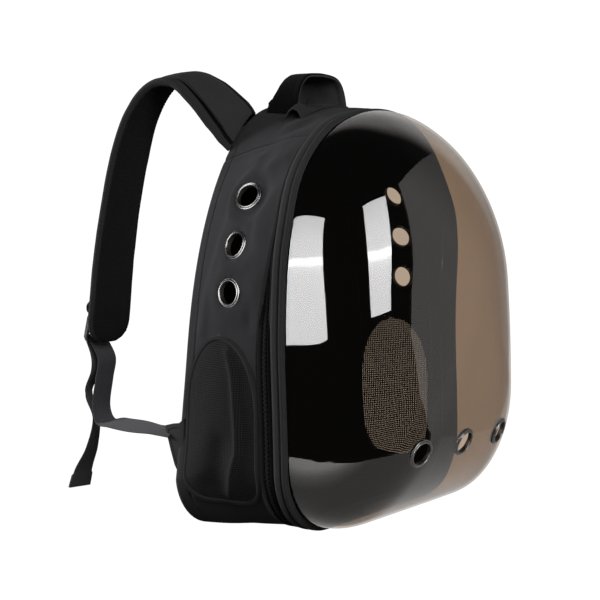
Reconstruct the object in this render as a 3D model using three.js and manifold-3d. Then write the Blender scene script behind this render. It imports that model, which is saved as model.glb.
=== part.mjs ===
// Pet carrier backpack: a cloth case with a clear domed front, vent eyelets, mesh side windows, a carry
// handle, and padded shoulder straps on adjustable webbing.
// Millimetres. +Z is up, the dome faces -Y and the wearer's back lies against the +Y face.
// The origin lies on the flat underside that the pack stands on.

import * as THREE from "three";
import { mergeVertices } from "three/addons/utils/BufferGeometryUtils.js";
import Module from "manifold-3d";

const wasm = await Module();
wasm.setup();

// Driving dimensions

const GAP = 0.3;
const BACK_Y = 60;
const DOME_EDGE_Y = -67;
const DOME_DEPTH = 113;
const CASE_WALL = 3;
const BACK_PANEL_DEPTH = 10;
const BACK_PANEL_TAPER = 1;
const DOME_WALL = 2;
const DOME_SKIRT = 16;
const PIPING_DEPTH = 7;
const BAND_DEPTH = 10;
const ZIP_DEPTH = 14;
const CASE_FRONT_Y = DOME_EDGE_Y + PIPING_DEPTH + BAND_DEPTH + ZIP_DEPTH;

// Arch outlines, seen from the front: straight floor, round corners, sides that straighten from a sag
// above the corner up to the spring line, and an elliptic crown.
const DOME_ARCH = { halfWidth: 142.5, top: 394.5, spring: 242, corner: 62, bottom: 11.5, sag: 0 };
const RIM_ARCH = { halfWidth: 147.5, top: 400, spring: 242, corner: 64, bottom: 6, sag: 0 };
const CASE_FRONT_SHARE = 0.45;

// Sections of the cloth case behind its front edge, from front to back
const CASE_SECTIONS = [
  { y: -24, halfWidth: 144.5, top: 398, spring: 226, corner: 76, bottom: 0, sag: 0 },
  { y: 12, halfWidth: 143, top: 401, spring: 185, corner: 70, bottom: 0, sag: 2 },
  { y: 36, halfWidth: 141, top: 402.5, spring: 148, corner: 58, bottom: 0, sag: 4.5 },
  { y: BACK_Y, halfWidth: 138.5, top: 403, spring: 112, corner: 48, bottom: 0, sag: 7 },
];

// Facets along each half of an arch outline, and of the smaller window outline
const ARCH_STEPS = { floor: 3, corner: 5, side: 3, crown: 10 };
const WINDOW_STEPS = { floor: 2, corner: 4, side: 4, crown: 5 };
const TOP_PANEL_STEPS = 4;

// Share of a facet left open on each side of a seam between panels
const SEAM_SHARE = 0.008;

// Rim profiles: shares of the way out from the dome's edge (0) to the rim (1), and bevels along Y
const RIM_SHARES = {
  foot: 0.08, tape: 0.5, coil: 0.85, bandEdge: 0.8, bandOut: 1, pipingEdge: 0.7, pipingOut: 0.95,
};
const COIL = { half: 2.5, crownHalf: 1.25 };
const BAND_BEVEL = 2.5;
const PIPING_BEVEL = 2;

// The dome bulges from its edge to the front as a superellipse, boxier below than at the crown
const DOME_CENTRE_Z = 220;
const DOME_POWER = { below: 2.26, crown: 1.64 };
const DOME_RINGS = 8;

// An eyelet's radii, its lips and barrel, and the share of its lip where its seat is measured
const EYELET = { bore: 9.8, flange: 14, lip: 1.2, edge: 0.7, bevel: 0.8, barrel: 0.9, facets: 16, seat: 0.7 };
const HOLE_CUT_LENGTH = 30;
const CASE_EYELET_GRIP = CASE_WALL + 2.6;
const DOME_EYELET_GRIP = DOME_WALL + 1.8;
const SIDE_VENTS = [
  { y: -1, z: 315 },
  { y: 1, z: 271 },
  { y: 3, z: 227.5 },
];
const DOME_VENTS = [
  { x: -68.7, z: 88 },
  { x: 0, z: 88 },
  { x: 68.7, z: 88 },
];

// Mesh window outline in the side's own plane, with Y measured from its middle. The mesh is rings at shares
// of the way out from its middle, and its binding lies round it.
const WINDOW_ARCH = { halfWidth: 41, top: 183, spring: 118, corner: 26, bottom: 36, sag: 0 };
const WINDOW_MIDDLE = { y: 12.5, z: (WINDOW_ARCH.top + WINDOW_ARCH.bottom) / 2 };
const WINDOW_CUT = { from: 95, to: 175 };
const WINDOW_SEAT = 1.1;
const MESH = { thick: 1.2, bulge: 3.5, scale: 1.03 };
const MESH_SHARES = [1, 0.72, 0.36];
const BINDING = { thick: 2, innerScale: 1.042, outerScale: 1.11 };

const HANDLE = { y: 25, width: 46, thick: 4, footZ: 399, lean: 10 };
const HANDLE_HALF = [
  { x: 36, rise: 0 },
  { x: 32, rise: 14 },
  { x: 26, rise: 25 },
  { x: 19, rise: 31.5 },
  { x: 11, rise: 34 },
];
const HANDLE_PATCH = { frontY: -26, backY: -2, halfWidth: 46, thick: 1.6, seat: 0.5, steps: 10 };

// Straps: a row for each section, with its middle, the direction of its width, its width and thickness
const STRAP_LEFT = [
  { x: -54, y: 60.3, z: 379, wx: 0.72, wy: 0, wz: 0.69, width: 63, thick: 4 },
  { x: -59, y: 74, z: 395, wx: 0.76, wy: 0, wz: 0.65, width: 60, thick: 9 },
  { x: -65, y: 98, z: 417, wx: 0.88, wy: 0.1, wz: 0.42, width: 57, thick: 10 },
  { x: -69, y: 122, z: 429, wx: 0.95, wy: 0.2, wz: 0.22, width: 56, thick: 10 },
  { x: -73, y: 148, z: 421, wx: 0.95, wy: 0.24, wz: 0.1, width: 56, thick: 10 },
  { x: -78, y: 166, z: 392, wx: 0.96, wy: 0.22, wz: 0.05, width: 56, thick: 10 },
  { x: -83, y: 180, z: 350, wx: 0.97, wy: 0.18, wz: 0, width: 56, thick: 10 },
  { x: -89, y: 190, z: 300, wx: 0.98, wy: 0.14, wz: 0, width: 56, thick: 10 },
  { x: -95, y: 197, z: 250, wx: 1, wy: 0.08, wz: 0, width: 56, thick: 10 },
  { x: -99, y: 201, z: 205, wx: 1, wy: 0.02, wz: 0, width: 55, thick: 10 },
  { x: -100, y: 203, z: 182, wx: 1, wy: 0, wz: 0, width: 50, thick: 10 },
  { x: -100, y: 203.5, z: 167, wx: 1, wy: 0, wz: 0, width: 28, thick: 8 },
];
const STRAP_RIGHT = [
  { x: 54, y: 60.3, z: 379, wx: -0.72, wy: 0, wz: 0.69, width: 63, thick: 4 },
  { x: 57, y: 74, z: 384, wx: -0.86, wy: 0, wz: 0.5, width: 60, thick: 9 },
  { x: 60, y: 96, z: 386, wx: -0.95, wy: 0, wz: 0.3, width: 57, thick: 10 },
  { x: 64, y: 116, z: 378, wx: -0.99, wy: 0, wz: 0.14, width: 56, thick: 10 },
  { x: 68, y: 132, z: 356, wx: -1, wy: 0, wz: 0.05, width: 56, thick: 10 },
  { x: 74, y: 143, z: 318, wx: -1, wy: 0, wz: 0, width: 56, thick: 10 },
  { x: 81, y: 150, z: 272, wx: -1, wy: 0, wz: 0, width: 56, thick: 10 },
  { x: 88, y: 153, z: 226, wx: -1, wy: 0, wz: 0, width: 56, thick: 10 },
  { x: 95, y: 154.5, z: 178, wx: -1, wy: 0, wz: 0, width: 56, thick: 10 },
  { x: 99, y: 155.5, z: 151, wx: -1, wy: 0, wz: 0, width: 55, thick: 10 },
  { x: 100, y: 157.5, z: 128, wx: -1, wy: 0, wz: 0, width: 50, thick: 10 },
  { x: 100, y: 158, z: 113, wx: -1, wy: 0, wz: 0, width: 28, thick: 8 },
];
const STRAP_STEPS = 2;

// The lock hangs behind the strap's end, leaning out at its foot
const LOCK = { width: 34, chamfer: 3.2, bar: 5, post: 4, topSlot: 5, window: 7, thick: 4, lean: 0.26 };
const LOCK_PLACE = { behind: 14.5, above: 11 };
const WEBBING = { width: 25, thick: 1.5 };
const WEB_SLACK = 0.5;
const LOCK_TAB = { reach: 28, spread: 0.4, overBar: 1 };

// Webbing from the anchor tab to the lock, and from the lock to the free end
const WEB_RISE_LEFT = [
  { x: -139.5, y: 74.3, z: 91, wx: 0.8, wy: 0, wz: 0.6 },
  { x: -135, y: 100, z: 89, wx: 0.86, wy: 0.1, wz: 0.5 },
  { x: -124, y: 140, z: 88, wx: 0.9, wy: 0.2, wz: 0.38 },
  { x: -112, y: 180, z: 85, wx: 0.97, wy: 0.2, wz: 0.16 },
  { x: -104, y: 206, z: 84, wx: 1, wy: 0.05, wz: 0 },
  { x: -101, y: 215, z: 96, wx: 1, wy: 0, wz: 0 },
  { x: -100, y: 215, z: 130, wx: 1, wy: 0, wz: 0 },
];
const WEB_TAIL_LEFT = [
  { x: -100, y: 229, z: 146, wx: 1, wy: 0.1, wz: 0 },
  { x: -100, y: 236, z: 114, wx: 0.96, wy: 0.18, wz: 0 },
  { x: -100, y: 225, z: 84, wx: 0.95, wy: 0.2, wz: 0 },
  { x: -100, y: 233, z: 53, wx: 0.95, wy: 0.18, wz: 0 },
  { x: -100, y: 243, z: 28, wx: 1, wy: 0, wz: 0 },
  { x: -100, y: 250, z: 8, wx: 1, wy: -0.12, wz: 0 },
];
const WEB_RISE_RIGHT = [
  { x: 139.5, y: 74.3, z: 91, wx: -0.8, wy: 0, wz: 0.6 },
  { x: 136, y: 92, z: 86, wx: -0.86, wy: 0.1, wz: 0.5 },
  { x: 127, y: 118, z: 72, wx: -0.9, wy: 0.2, wz: 0.38 },
  { x: 114, y: 146, z: 54, wx: -0.97, wy: 0.1, wz: 0.16 },
  { x: 104, y: 163, z: 52, wx: -1, wy: 0, wz: 0 },
  { x: 101, y: 170, z: 62, wx: -1, wy: 0, wz: 0 },
  { x: 100, y: 170, z: 84, wx: -1, wy: 0, wz: 0 },
];
const WEB_TAIL_RIGHT = [
  { x: 100, y: 183, z: 94, wx: -1, wy: 0, wz: 0 },
  { x: 100, y: 188, z: 70, wx: -1, wy: 0, wz: 0 },
  { x: 100, y: 186, z: 48, wx: -1, wy: 0, wz: 0 },
  { x: 100, y: 189, z: 26, wx: -1, wy: 0, wz: 0 },
  { x: 100, y: 194, z: 8, wx: -1, wy: 0, wz: 0 },
];
const WEB_STEPS = 3;

const ANCHOR_TAB = { x: 139.5, thick: 3, tipY: 74, seamLow: 48, seamHigh: 110, tipLow: 83, tipHigh: 99 };
const SLIDER = { z: 70, body: 11, width: 8, pull: 24, pullWidth: 6, pullThick: 2 };

const CLOTH = { color: 0x353537, roughness: 0.9, metalness: 0 };
const DARK_CLOTH = { color: 0x151516, roughness: 0.85, metalness: 0 };
const NET = { color: 0x1c1c1d, roughness: 0.9, metalness: 0 };
const WEB = { color: 0x4c4c4f, roughness: 0.85, metalness: 0 };
const PLASTIC = { color: 0x1b1b1c, roughness: 0.5, metalness: 0 };
const STEEL = { color: 0x8d8b88, roughness: 0.3, metalness: 1 };
const SMOKE = { color: 0x6a5644, roughness: 0.05, metalness: 0, transparent: true, opacity: 0.6 };

// Start of a line from outside towards a wall, and how near corners are to count as one
const FAR_OUT = 300;
const SAME_CORNER = 1e-4;

const pack = new THREE.Group();

// Small tools

const lerp = THREE.MathUtils.lerp;
const BACKWARDS = new THREE.Vector3(0, 1, 0);

function add(name, geometry, finish) {
  const mesh = new THREE.Mesh(facingOut(geometry), new THREE.MeshStandardMaterial(finish));
  mesh.name = name;
  pack.add(mesh);
  return mesh;
}

// Merges shared corners, and turns the faces round where they enclose a negative volume.
function facingOut(source) {
  const bare = source.clone();
  bare.deleteAttribute("normal");
  bare.deleteAttribute("uv");
  const geometry = mergeVertices(bare, SAME_CORNER);
  const place = geometry.attributes.position;
  const index = geometry.index.array;
  const [a, b, c] = [new THREE.Vector3(), new THREE.Vector3(), new THREE.Vector3()];
  let volume = 0;
  for (let i = 0; i < index.length; i += 3) {
    a.fromBufferAttribute(place, index[i]);
    b.fromBufferAttribute(place, index[i + 1]);
    c.fromBufferAttribute(place, index[i + 2]);
    volume += a.dot(b.cross(c));
  }
  if (volume < 0) index.reverse();
  return geometry;
}

// A closed surface through rings of equal point count. Each ring runs out along one side and back along
// the other, so an end is closed by a strip across it, or by a fan to a point, and the two sides' quads are
// split along matching lines.
function loft(rings, { closed = false, startPoint = null, endPoint = null } = {}) {
  const size = rings[0].length;
  const positions = rings.flat().flatMap((p) => [p.x, p.y, p.z]);
  const index = [];
  const quad = (a, b, c, d) => index.push(a, b, c, a, c, d);
  const spans = closed ? rings.length : rings.length - 1;
  for (let r = 0; r < spans; r++) {
    const here = r * size;
    const next = ((r + 1) % rings.length) * size;
    for (let k = 0; k < size; k++) {
      const after = (k + 1) % size;
      const corners = [here + k, here + after, next + after, next + k];
      if (k >= size / 2) corners.push(corners.shift());
      quad(...corners);
    }
  }
  const strip = (first, turned) => {
    for (let k = 0; k < size / 2 - 1; k++) {
      const corners = [first + k, first + size - 1 - k, first + size - 2 - k, first + k + 1];
      quad(...(turned ? corners.reverse() : corners));
    }
  };
  const fan = (first, point, turned) => {
    const tip = positions.length / 3;
    positions.push(point.x, point.y, point.z);
    for (let k = 0; k < size; k++) {
      const after = first + ((k + 1) % size);
      index.push(...(turned ? [tip, first + k, after] : [tip, after, first + k]));
    }
  };
  if (!closed) {
    const last = (rings.length - 1) * size;
    if (startPoint) fan(0, startPoint, false);
    else strip(0, false);
    if (endPoint) fan(last, endPoint, true);
    else strip(last, true);
  }
  const geometry = new THREE.BufferGeometry();
  geometry.setAttribute("position", new THREE.Float32BufferAttribute(positions, 3));
  geometry.setIndex(index);
  return geometry;
}

function toSolid(geometry) {
  const closed = facingOut(geometry);
  return new wasm.Manifold(new wasm.Mesh({
    numProp: 3,
    vertProperties: new Float32Array(closed.attributes.position.array),
    triVerts: new Uint32Array(closed.index.array),
  }));
}

function cutAway(geometry, cutters) {
  const solid = cutters.reduce((rest, cutter) => rest.subtract(toSolid(cutter)), toSolid(geometry));
  const mesh = solid.getMesh();
  const result = new THREE.BufferGeometry();
  result.setAttribute("position", new THREE.Float32BufferAttribute(mesh.vertProperties, 3));
  result.setIndex(Array.from(mesh.triVerts));
  return result;
}

// Turn that takes the Y axis to the given direction.
function turnTo(direction) {
  return new THREE.Quaternion().setFromUnitVectors(new THREE.Vector3(0, 1, 0), direction);
}

// Arch outlines

function halfArch({ halfWidth, top, spring, corner, bottom, sag }, steps) {
  const points = [];
  const flat = halfWidth + sag - corner;
  for (let i = 0; i < steps.floor; i++) {
    points.push([(flat * i) / steps.floor, bottom]);
  }
  for (let i = 0; i < steps.corner; i++) {
    const angle = (Math.PI / 2) * (i / steps.corner);
    points.push([flat + corner * Math.sin(angle), bottom + corner * (1 - Math.cos(angle))]);
  }
  for (let i = 0; i < steps.side; i++) {
    const rise = i / steps.side;
    points.push([halfWidth + sag * (1 - rise) ** 2, lerp(bottom + corner, spring, rise)]);
  }
  for (let i = 0; i <= steps.crown; i++) {
    const angle = (Math.PI / 2) * (i / steps.crown);
    points.push([halfWidth * Math.cos(angle), spring + (top - spring) * Math.sin(angle)]);
  }
  return points;
}

// Whole outline as [x, z] points, from the middle of the floor round by +X.
function archLoop(arch, steps = ARCH_STEPS) {
  const right = halfArch(arch, steps);
  const left = right.slice(1, -1).map(([x, z]) => [-x, z]).reverse();
  return [...right, ...left];
}

function mixArch(from, to, share) {
  return Object.fromEntries(Object.keys(from).map((key) => [key, lerp(from[key], to[key], share)]));
}

// Outline moved outwards by the given distance, square to itself.
function grown(loop, distance) {
  return loop.map(([x, z], i) => {
    const [beforeX, beforeZ] = loop[(i + loop.length - 1) % loop.length];
    const [afterX, afterZ] = loop[(i + 1) % loop.length];
    const along = new THREE.Vector2(afterX - beforeX, afterZ - beforeZ).normalize();
    return [x + along.y * distance, z - along.x * distance];
  });
}

const HALF_STEPS = ARCH_STEPS.floor + ARCH_STEPS.corner + ARCH_STEPS.side + ARCH_STEPS.crown;
const LOOP_STEPS = 2 * HALF_STEPS;

// Case

const CASE_FRONT = { y: CASE_FRONT_Y, ...mixArch(DOME_ARCH, RIM_ARCH, CASE_FRONT_SHARE) };
const CASE_STATIONS = [CASE_FRONT, ...CASE_SECTIONS];

function caseArch(y) {
  const found = CASE_STATIONS.findIndex((station) => station.y >= y);
  const next = Math.max(found < 0 ? CASE_STATIONS.length - 1 : found, 1);
  const [from, to] = [CASE_STATIONS[next - 1], CASE_STATIONS[next]];
  return mixArch(from, to, (y - from.y) / (to.y - from.y));
}

function caseTop(x, y) {
  const { halfWidth, top, spring } = caseArch(y);
  return spring + (top - spring) * Math.sqrt(1 - (x / halfWidth) ** 2);
}

// A stretch of the case wall, between two places counted in facets round the outline.
function caseWall(from, to) {
  const places = [from + SEAM_SHARE];
  for (let i = Math.ceil(from + 0.5); i < to; i++) places.push(i);
  places.push(to - SEAM_SHARE);
  const loops = CASE_STATIONS.map((station) => {
    const outer = archLoop(station);
    return { y: station.y, outer, inner: grown(outer, -CASE_WALL) };
  });
  const at = (loop, place, y) => {
    const first = Math.floor(place);
    const [x0, z0] = loop[((first % LOOP_STEPS) + LOOP_STEPS) % LOOP_STEPS];
    const [x1, z1] = loop[(((first + 1) % LOOP_STEPS) + LOOP_STEPS) % LOOP_STEPS];
    return new THREE.Vector3(lerp(x0, x1, place - first), y, lerp(z0, z1, place - first));
  };
  const rings = places.map((place) => [
    ...loops.map(({ y, outer }) => at(outer, place, y)),
    ...loops.map(({ y, inner }) => at(inner, place, y)).reverse(),
  ]);
  return loft(rings);
}

// Eyelet: two lips and a barrel round a hole, turned about the hole's own axis. The grip is the room
// between its lips, which a curved wall needs more of.
function eyeletGeometry(grip) {
  const { bore, flange, lip, edge, bevel, barrel, facets } = EYELET;
  const half = grip / 2;
  const profile = [
    [bore, -half - lip],
    [flange, -half - edge],
    [flange, -half],
    [bore + barrel, -half],
    [bore + barrel, half],
    [flange, half],
    [flange - bevel, half + lip],
    [bore, half + edge],
  ];
  const closed = [...profile, profile[0]].map(([r, h]) => new THREE.Vector2(r, h));
  return new THREE.LatheGeometry(closed, facets);
}

function eyelet(name, middle, out, grip) {
  const mesh = add(name, eyeletGeometry(grip), STEEL);
  mesh.position.copy(middle);
  mesh.quaternion.copy(turnTo(out));
}

function holeCutter(middle, out) {
  const radius = EYELET.bore + EYELET.barrel + GAP;
  const cutter = new THREE.CylinderGeometry(radius, radius, HOLE_CUT_LENGTH, EYELET.facets);
  cutter.applyQuaternion(turnTo(out));
  cutter.translate(middle.x, middle.y, middle.z);
  return cutter;
}

// Where a straight line from outside first meets a mesh
function hit(mesh, from, direction) {
  return new THREE.Raycaster(from, direction).intersectObject(mesh)[0].point;
}

// Seat of an eyelet in a wall: the middle of the wall's thickness, and the way out of it, from four points
// round the eyelet's lip. The line in is along the way given.
function seatIn(wall, thickness, middle, inwards) {
  const reach = EYELET.flange * EYELET.seat;
  const upwards = new THREE.Vector3(0, 0, reach);
  const sideways = new THREE.Vector3().crossVectors(upwards, inwards);
  const near = (offset) => hit(wall, middle.clone().add(offset), inwards);
  const [above, below] = [near(upwards), near(upwards.clone().negate())];
  const [ahead, behind] = [near(sideways), near(sideways.clone().negate())];
  const out = above.clone().sub(below).cross(ahead.clone().sub(behind)).normalize();
  if (out.dot(inwards) > 0) out.negate();
  const face = above.add(below).add(ahead).add(behind).divideScalar(4);
  return { middle: face.addScaledVector(out, -thickness / 2), out };
}

function windowLoop(scale) {
  const { halfWidth, top, bottom } = WINDOW_ARCH;
  const halfHeight = (top - bottom) / 2;
  const margin = (scale - 1) * halfWidth;
  const share = (halfHeight + margin) / halfHeight;
  return archLoop(WINDOW_ARCH, WINDOW_STEPS).map(([across, z]) => (
    [WINDOW_MIDDLE.y + across * scale, WINDOW_MIDDLE.z + (z - WINDOW_MIDDLE.z) * share]
  ));
}

function windowCutter(side) {
  const shape = new THREE.Shape(windowLoop(1).map(([y, z]) => new THREE.Vector2(y, z)));
  const depth = WINDOW_CUT.to - WINDOW_CUT.from;
  const cutter = new THREE.ExtrudeGeometry(shape, { depth, bevelEnabled: false });
  cutter.applyMatrix4(new THREE.Matrix4().makeBasis(
    new THREE.Vector3(0, 1, 0), new THREE.Vector3(0, 0, 1), new THREE.Vector3(1, 0, 0),
  ));
  cutter.translate(side > 0 ? WINDOW_CUT.from : -WINDOW_CUT.to, 0, 0);
  return cutter;
}

function sidePanel(side, label) {
  const wall = caseWall(ARCH_STEPS.floor, HALF_STEPS - TOP_PANEL_STEPS).scale(side, 1, 1);
  const wallMesh = new THREE.Mesh(facingOut(wall));
  const inwards = new THREE.Vector3(-side, 0, 0);
  const vents = SIDE_VENTS.map(({ y, z }) => (
    seatIn(wallMesh, CASE_WALL, new THREE.Vector3(side * FAR_OUT, y, z), inwards)
  ));
  const cutters = vents.map(({ middle, out }) => holeCutter(middle, out));
  add(`side_panel_${label}`, cutAway(wall, [...cutters, windowCutter(side)]), CLOTH);
  vents.forEach(({ middle, out }, i) => {
    eyelet(`vent_eyelet_${label}_${i + 1}`, middle, out, CASE_EYELET_GRIP);
  });
  const overSide = ([y, z], height) => (
    hit(wallMesh, new THREE.Vector3(side * FAR_OUT, y, z), inwards).addScaledVector(inwards, -height)
  );
  meshWindow(label, overSide);
  windowBinding(label, overSide);
}

// The mesh and its binding lie over the side: overSide lifts a point off the side by a height.
function meshWindow(label, overSide) {
  const face = (height) => MESH_SHARES.map((share) => {
    const swell = MESH.bulge * (1 - share ** 2);
    return windowLoop(MESH.scale).map(([y, z]) => (
      overSide([lerp(WINDOW_MIDDLE.y, y, share), lerp(WINDOW_MIDDLE.z, z, share)], height + swell)
    ));
  });
  const middle = [WINDOW_MIDDLE.y, WINDOW_MIDDLE.z];
  const outside = face(WINDOW_SEAT + MESH.thick);
  const inside = face(WINDOW_SEAT);
  const geometry = loft([...outside.reverse(), ...inside], {
    startPoint: overSide(middle, WINDOW_SEAT + MESH.thick + MESH.bulge),
    endPoint: overSide(middle, WINDOW_SEAT + MESH.bulge),
  });
  add(`mesh_window_${label}`, geometry, NET);
}

function windowBinding(label, overSide) {
  const inner = windowLoop(BINDING.innerScale);
  const outer = windowLoop(BINDING.outerScale);
  const rings = inner.map((point, i) => [
    overSide(point, WINDOW_SEAT),
    overSide(point, WINDOW_SEAT + BINDING.thick),
    overSide(outer[i], WINDOW_SEAT + BINDING.thick),
    overSide(outer[i], WINDOW_SEAT),
  ]);
  add(`window_binding_${label}`, loft(rings, { closed: true }), CLOTH);
}

function backPanel() {
  const inset = CASE_WALL + GAP;
  const outline = grown(archLoop(caseArch(BACK_Y)), -inset);
  const frontY = BACK_Y - BACK_PANEL_DEPTH;
  const innerOutline = grown(archLoop(caseArch(frontY)), -inset - BACK_PANEL_TAPER);
  const edge = (loop, y) => loop.map(([x, z]) => new THREE.Vector3(x, y, z));
  const middleZ = caseArch(BACK_Y).top / 2;
  add("back_panel", loft([edge(outline, BACK_Y), edge(innerOutline, frontY)], {
    startPoint: new THREE.Vector3(0, BACK_Y, middleZ),
    endPoint: new THREE.Vector3(0, frontY, middleZ),
  }), CLOTH);
}

// Zip, cloth band and piping run round between the dome's edge and the rim
function rimRing(name, profile, finish) {
  const inner = archLoop(DOME_ARCH);
  const outer = archLoop(RIM_ARCH);
  const rings = inner.map(([x, z], i) => profile.map(({ share, y }) => (
    new THREE.Vector3(lerp(x, outer[i][0], share), y, lerp(z, outer[i][1], share))
  )));
  add(name, loft(rings, { closed: true }), finish);
}

function rim() {
  const { foot, tape, coil, bandEdge, bandOut, pipingEdge, pipingOut } = RIM_SHARES;
  const zipBack = CASE_FRONT_Y - GAP;
  const zipFront = CASE_FRONT_Y - ZIP_DEPTH + GAP;
  const coilY = (zipBack + zipFront) / 2;
  rimRing("zip_tape", [
    { share: foot, y: zipFront },
    { share: foot, y: zipBack },
    { share: tape, y: zipBack },
    { share: tape, y: coilY + COIL.half },
    { share: coil, y: coilY + COIL.crownHalf },
    { share: coil, y: coilY - COIL.crownHalf },
    { share: tape, y: coilY - COIL.half },
    { share: tape, y: zipFront },
  ], DARK_CLOTH);
  const bandBack = CASE_FRONT_Y - ZIP_DEPTH;
  const bandFront = bandBack - BAND_DEPTH + GAP;
  rimRing("rim_band", [
    { share: foot, y: bandFront },
    { share: foot, y: bandBack },
    { share: bandEdge, y: bandBack },
    { share: bandOut, y: bandBack - BAND_BEVEL },
    { share: bandOut, y: bandFront + BAND_BEVEL },
    { share: bandEdge, y: bandFront },
  ], CLOTH);
  const pipingBack = DOME_EDGE_Y + PIPING_DEPTH;
  rimRing("piping", [
    { share: foot, y: DOME_EDGE_Y },
    { share: foot, y: pipingBack },
    { share: pipingEdge, y: pipingBack },
    { share: pipingOut, y: pipingBack - PIPING_BEVEL },
    { share: pipingOut, y: DOME_EDGE_Y + PIPING_BEVEL },
    { share: pipingEdge, y: DOME_EDGE_Y },
  ], DARK_CLOTH);
}

// The slider sits on the coil low on the right, with its pull hanging down the tape
function zipSlider() {
  const coilY = CASE_FRONT_Y - ZIP_DEPTH / 2;
  const coilX = lerp(DOME_ARCH.halfWidth, RIM_ARCH.halfWidth, RIM_SHARES.coil);
  const body = new THREE.Shape();
  const half = SLIDER.width / 2;
  body.moveTo(-half, 0);
  body.lineTo(-SLIDER.pullWidth / 2, -SLIDER.pull);
  body.lineTo(SLIDER.pullWidth / 2, -SLIDER.pull);
  body.lineTo(half, 0);
  body.lineTo(half, SLIDER.body);
  body.lineTo(-half, SLIDER.body);
  const geometry = new THREE.ExtrudeGeometry(body, { depth: SLIDER.pullThick, bevelEnabled: false });
  geometry.applyMatrix4(new THREE.Matrix4().makeBasis(
    new THREE.Vector3(0, 1, 0), new THREE.Vector3(0, 0, 1), new THREE.Vector3(1, 0, 0),
  ));
  add("zip_slider", geometry, STEEL).position.set(coilX + GAP, coilY, SLIDER.z);
}

// Dome

function domePower(x, z) {
  const up = Math.sin(Math.atan2(z - DOME_CENTRE_Z, Math.abs(x)));
  return lerp(DOME_POWER.below, DOME_POWER.crown, 0.5 + 0.5 * up);
}

// One face of the dome's wall, as rings from next to the middle out to the edge
function domeRings(loop, depth) {
  const rings = [];
  for (let r = 1; r <= DOME_RINGS; r++) {
    const angle = (Math.PI / 2) * (r / DOME_RINGS);
    rings.push(loop.map(([x, z]) => {
      const power = domePower(x, z);
      const share = Math.sin(angle) ** (2 / power);
      const bulge = r === DOME_RINGS ? 0 : Math.cos(angle) ** (2 / power);
      const height = lerp(DOME_CENTRE_Z, z, share);
      return new THREE.Vector3(x * share, DOME_EDGE_Y - depth * bulge, height);
    }));
  }
  rings.push(loop.map(([x, z]) => new THREE.Vector3(x, DOME_EDGE_Y + DOME_SKIRT, z)));
  return rings;
}

function dome() {
  const edge = archLoop(DOME_ARCH);
  const outside = domeRings(edge, DOME_DEPTH);
  const inside = domeRings(grown(edge, -DOME_WALL), DOME_DEPTH - DOME_WALL);
  const shell = loft([...outside, ...inside.reverse()], {
    startPoint: new THREE.Vector3(0, DOME_EDGE_Y - DOME_DEPTH, DOME_CENTRE_Z),
    endPoint: new THREE.Vector3(0, DOME_EDGE_Y - DOME_DEPTH + DOME_WALL, DOME_CENTRE_Z),
  });
  const shellMesh = new THREE.Mesh(facingOut(shell));
  const vents = DOME_VENTS.map(({ x, z }) => (
    seatIn(shellMesh, DOME_WALL, new THREE.Vector3(x, -FAR_OUT, z), BACKWARDS)
  ));
  const cutters = vents.map(({ middle, out }) => holeCutter(middle, out));
  add("dome", cutAway(shell, cutters), SMOKE);
  vents.forEach(({ middle, out }, i) => eyelet(`dome_eyelet_${i + 1}`, middle, out, DOME_EYELET_GRIP));
}

// Handle

function handle() {
  const left = HANDLE_HALF.map(({ x, rise }) => ({ x: -x, rise }));
  const right = [...HANDLE_HALF].reverse();
  const line = [...left, ...right].map(({ x, rise }) => new THREE.Vector2(x, HANDLE.footZ + rise));
  const topRise = right[0].rise;
  const rings = line.map((middle, i) => {
    const before = line[Math.max(i - 1, 0)];
    const after = line[Math.min(i + 1, line.length - 1)];
    const along = after.clone().sub(before).normalize();
    const up = new THREE.Vector2(-along.y, along.x).multiplyScalar(HANDLE.thick / 2);
    const foot = i === 0 || i === line.length - 1;
    const lean = (HANDLE.lean * (middle.y - HANDLE.footZ)) / topRise;
    const corner = (side, sign) => {
      const x = middle.x + up.x * sign;
      const y = HANDLE.y - lean + (side * HANDLE.width) / 2;
      return new THREE.Vector3(x, y, foot ? caseTop(x, y) + GAP : middle.y + up.y * sign);
    };
    return [corner(-1, 1), corner(1, 1), corner(1, -1), corner(-1, -1)];
  });
  add("handle", loft(rings), CLOTH);
}

function handlePatch() {
  const { frontY, backY, halfWidth, thick, seat, steps } = HANDLE_PATCH;
  const rings = [];
  for (let i = 0; i <= steps; i++) {
    const x = lerp(-halfWidth, halfWidth, i / steps);
    const at = (y, height) => new THREE.Vector3(x, y, caseTop(x, y) + seat + height);
    rings.push([at(frontY, thick), at(backY, thick), at(backY, 0), at(frontY, 0)]);
  }
  add("handle_patch", loft(rings), CLOTH);
}

// Straps and webbing

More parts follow.
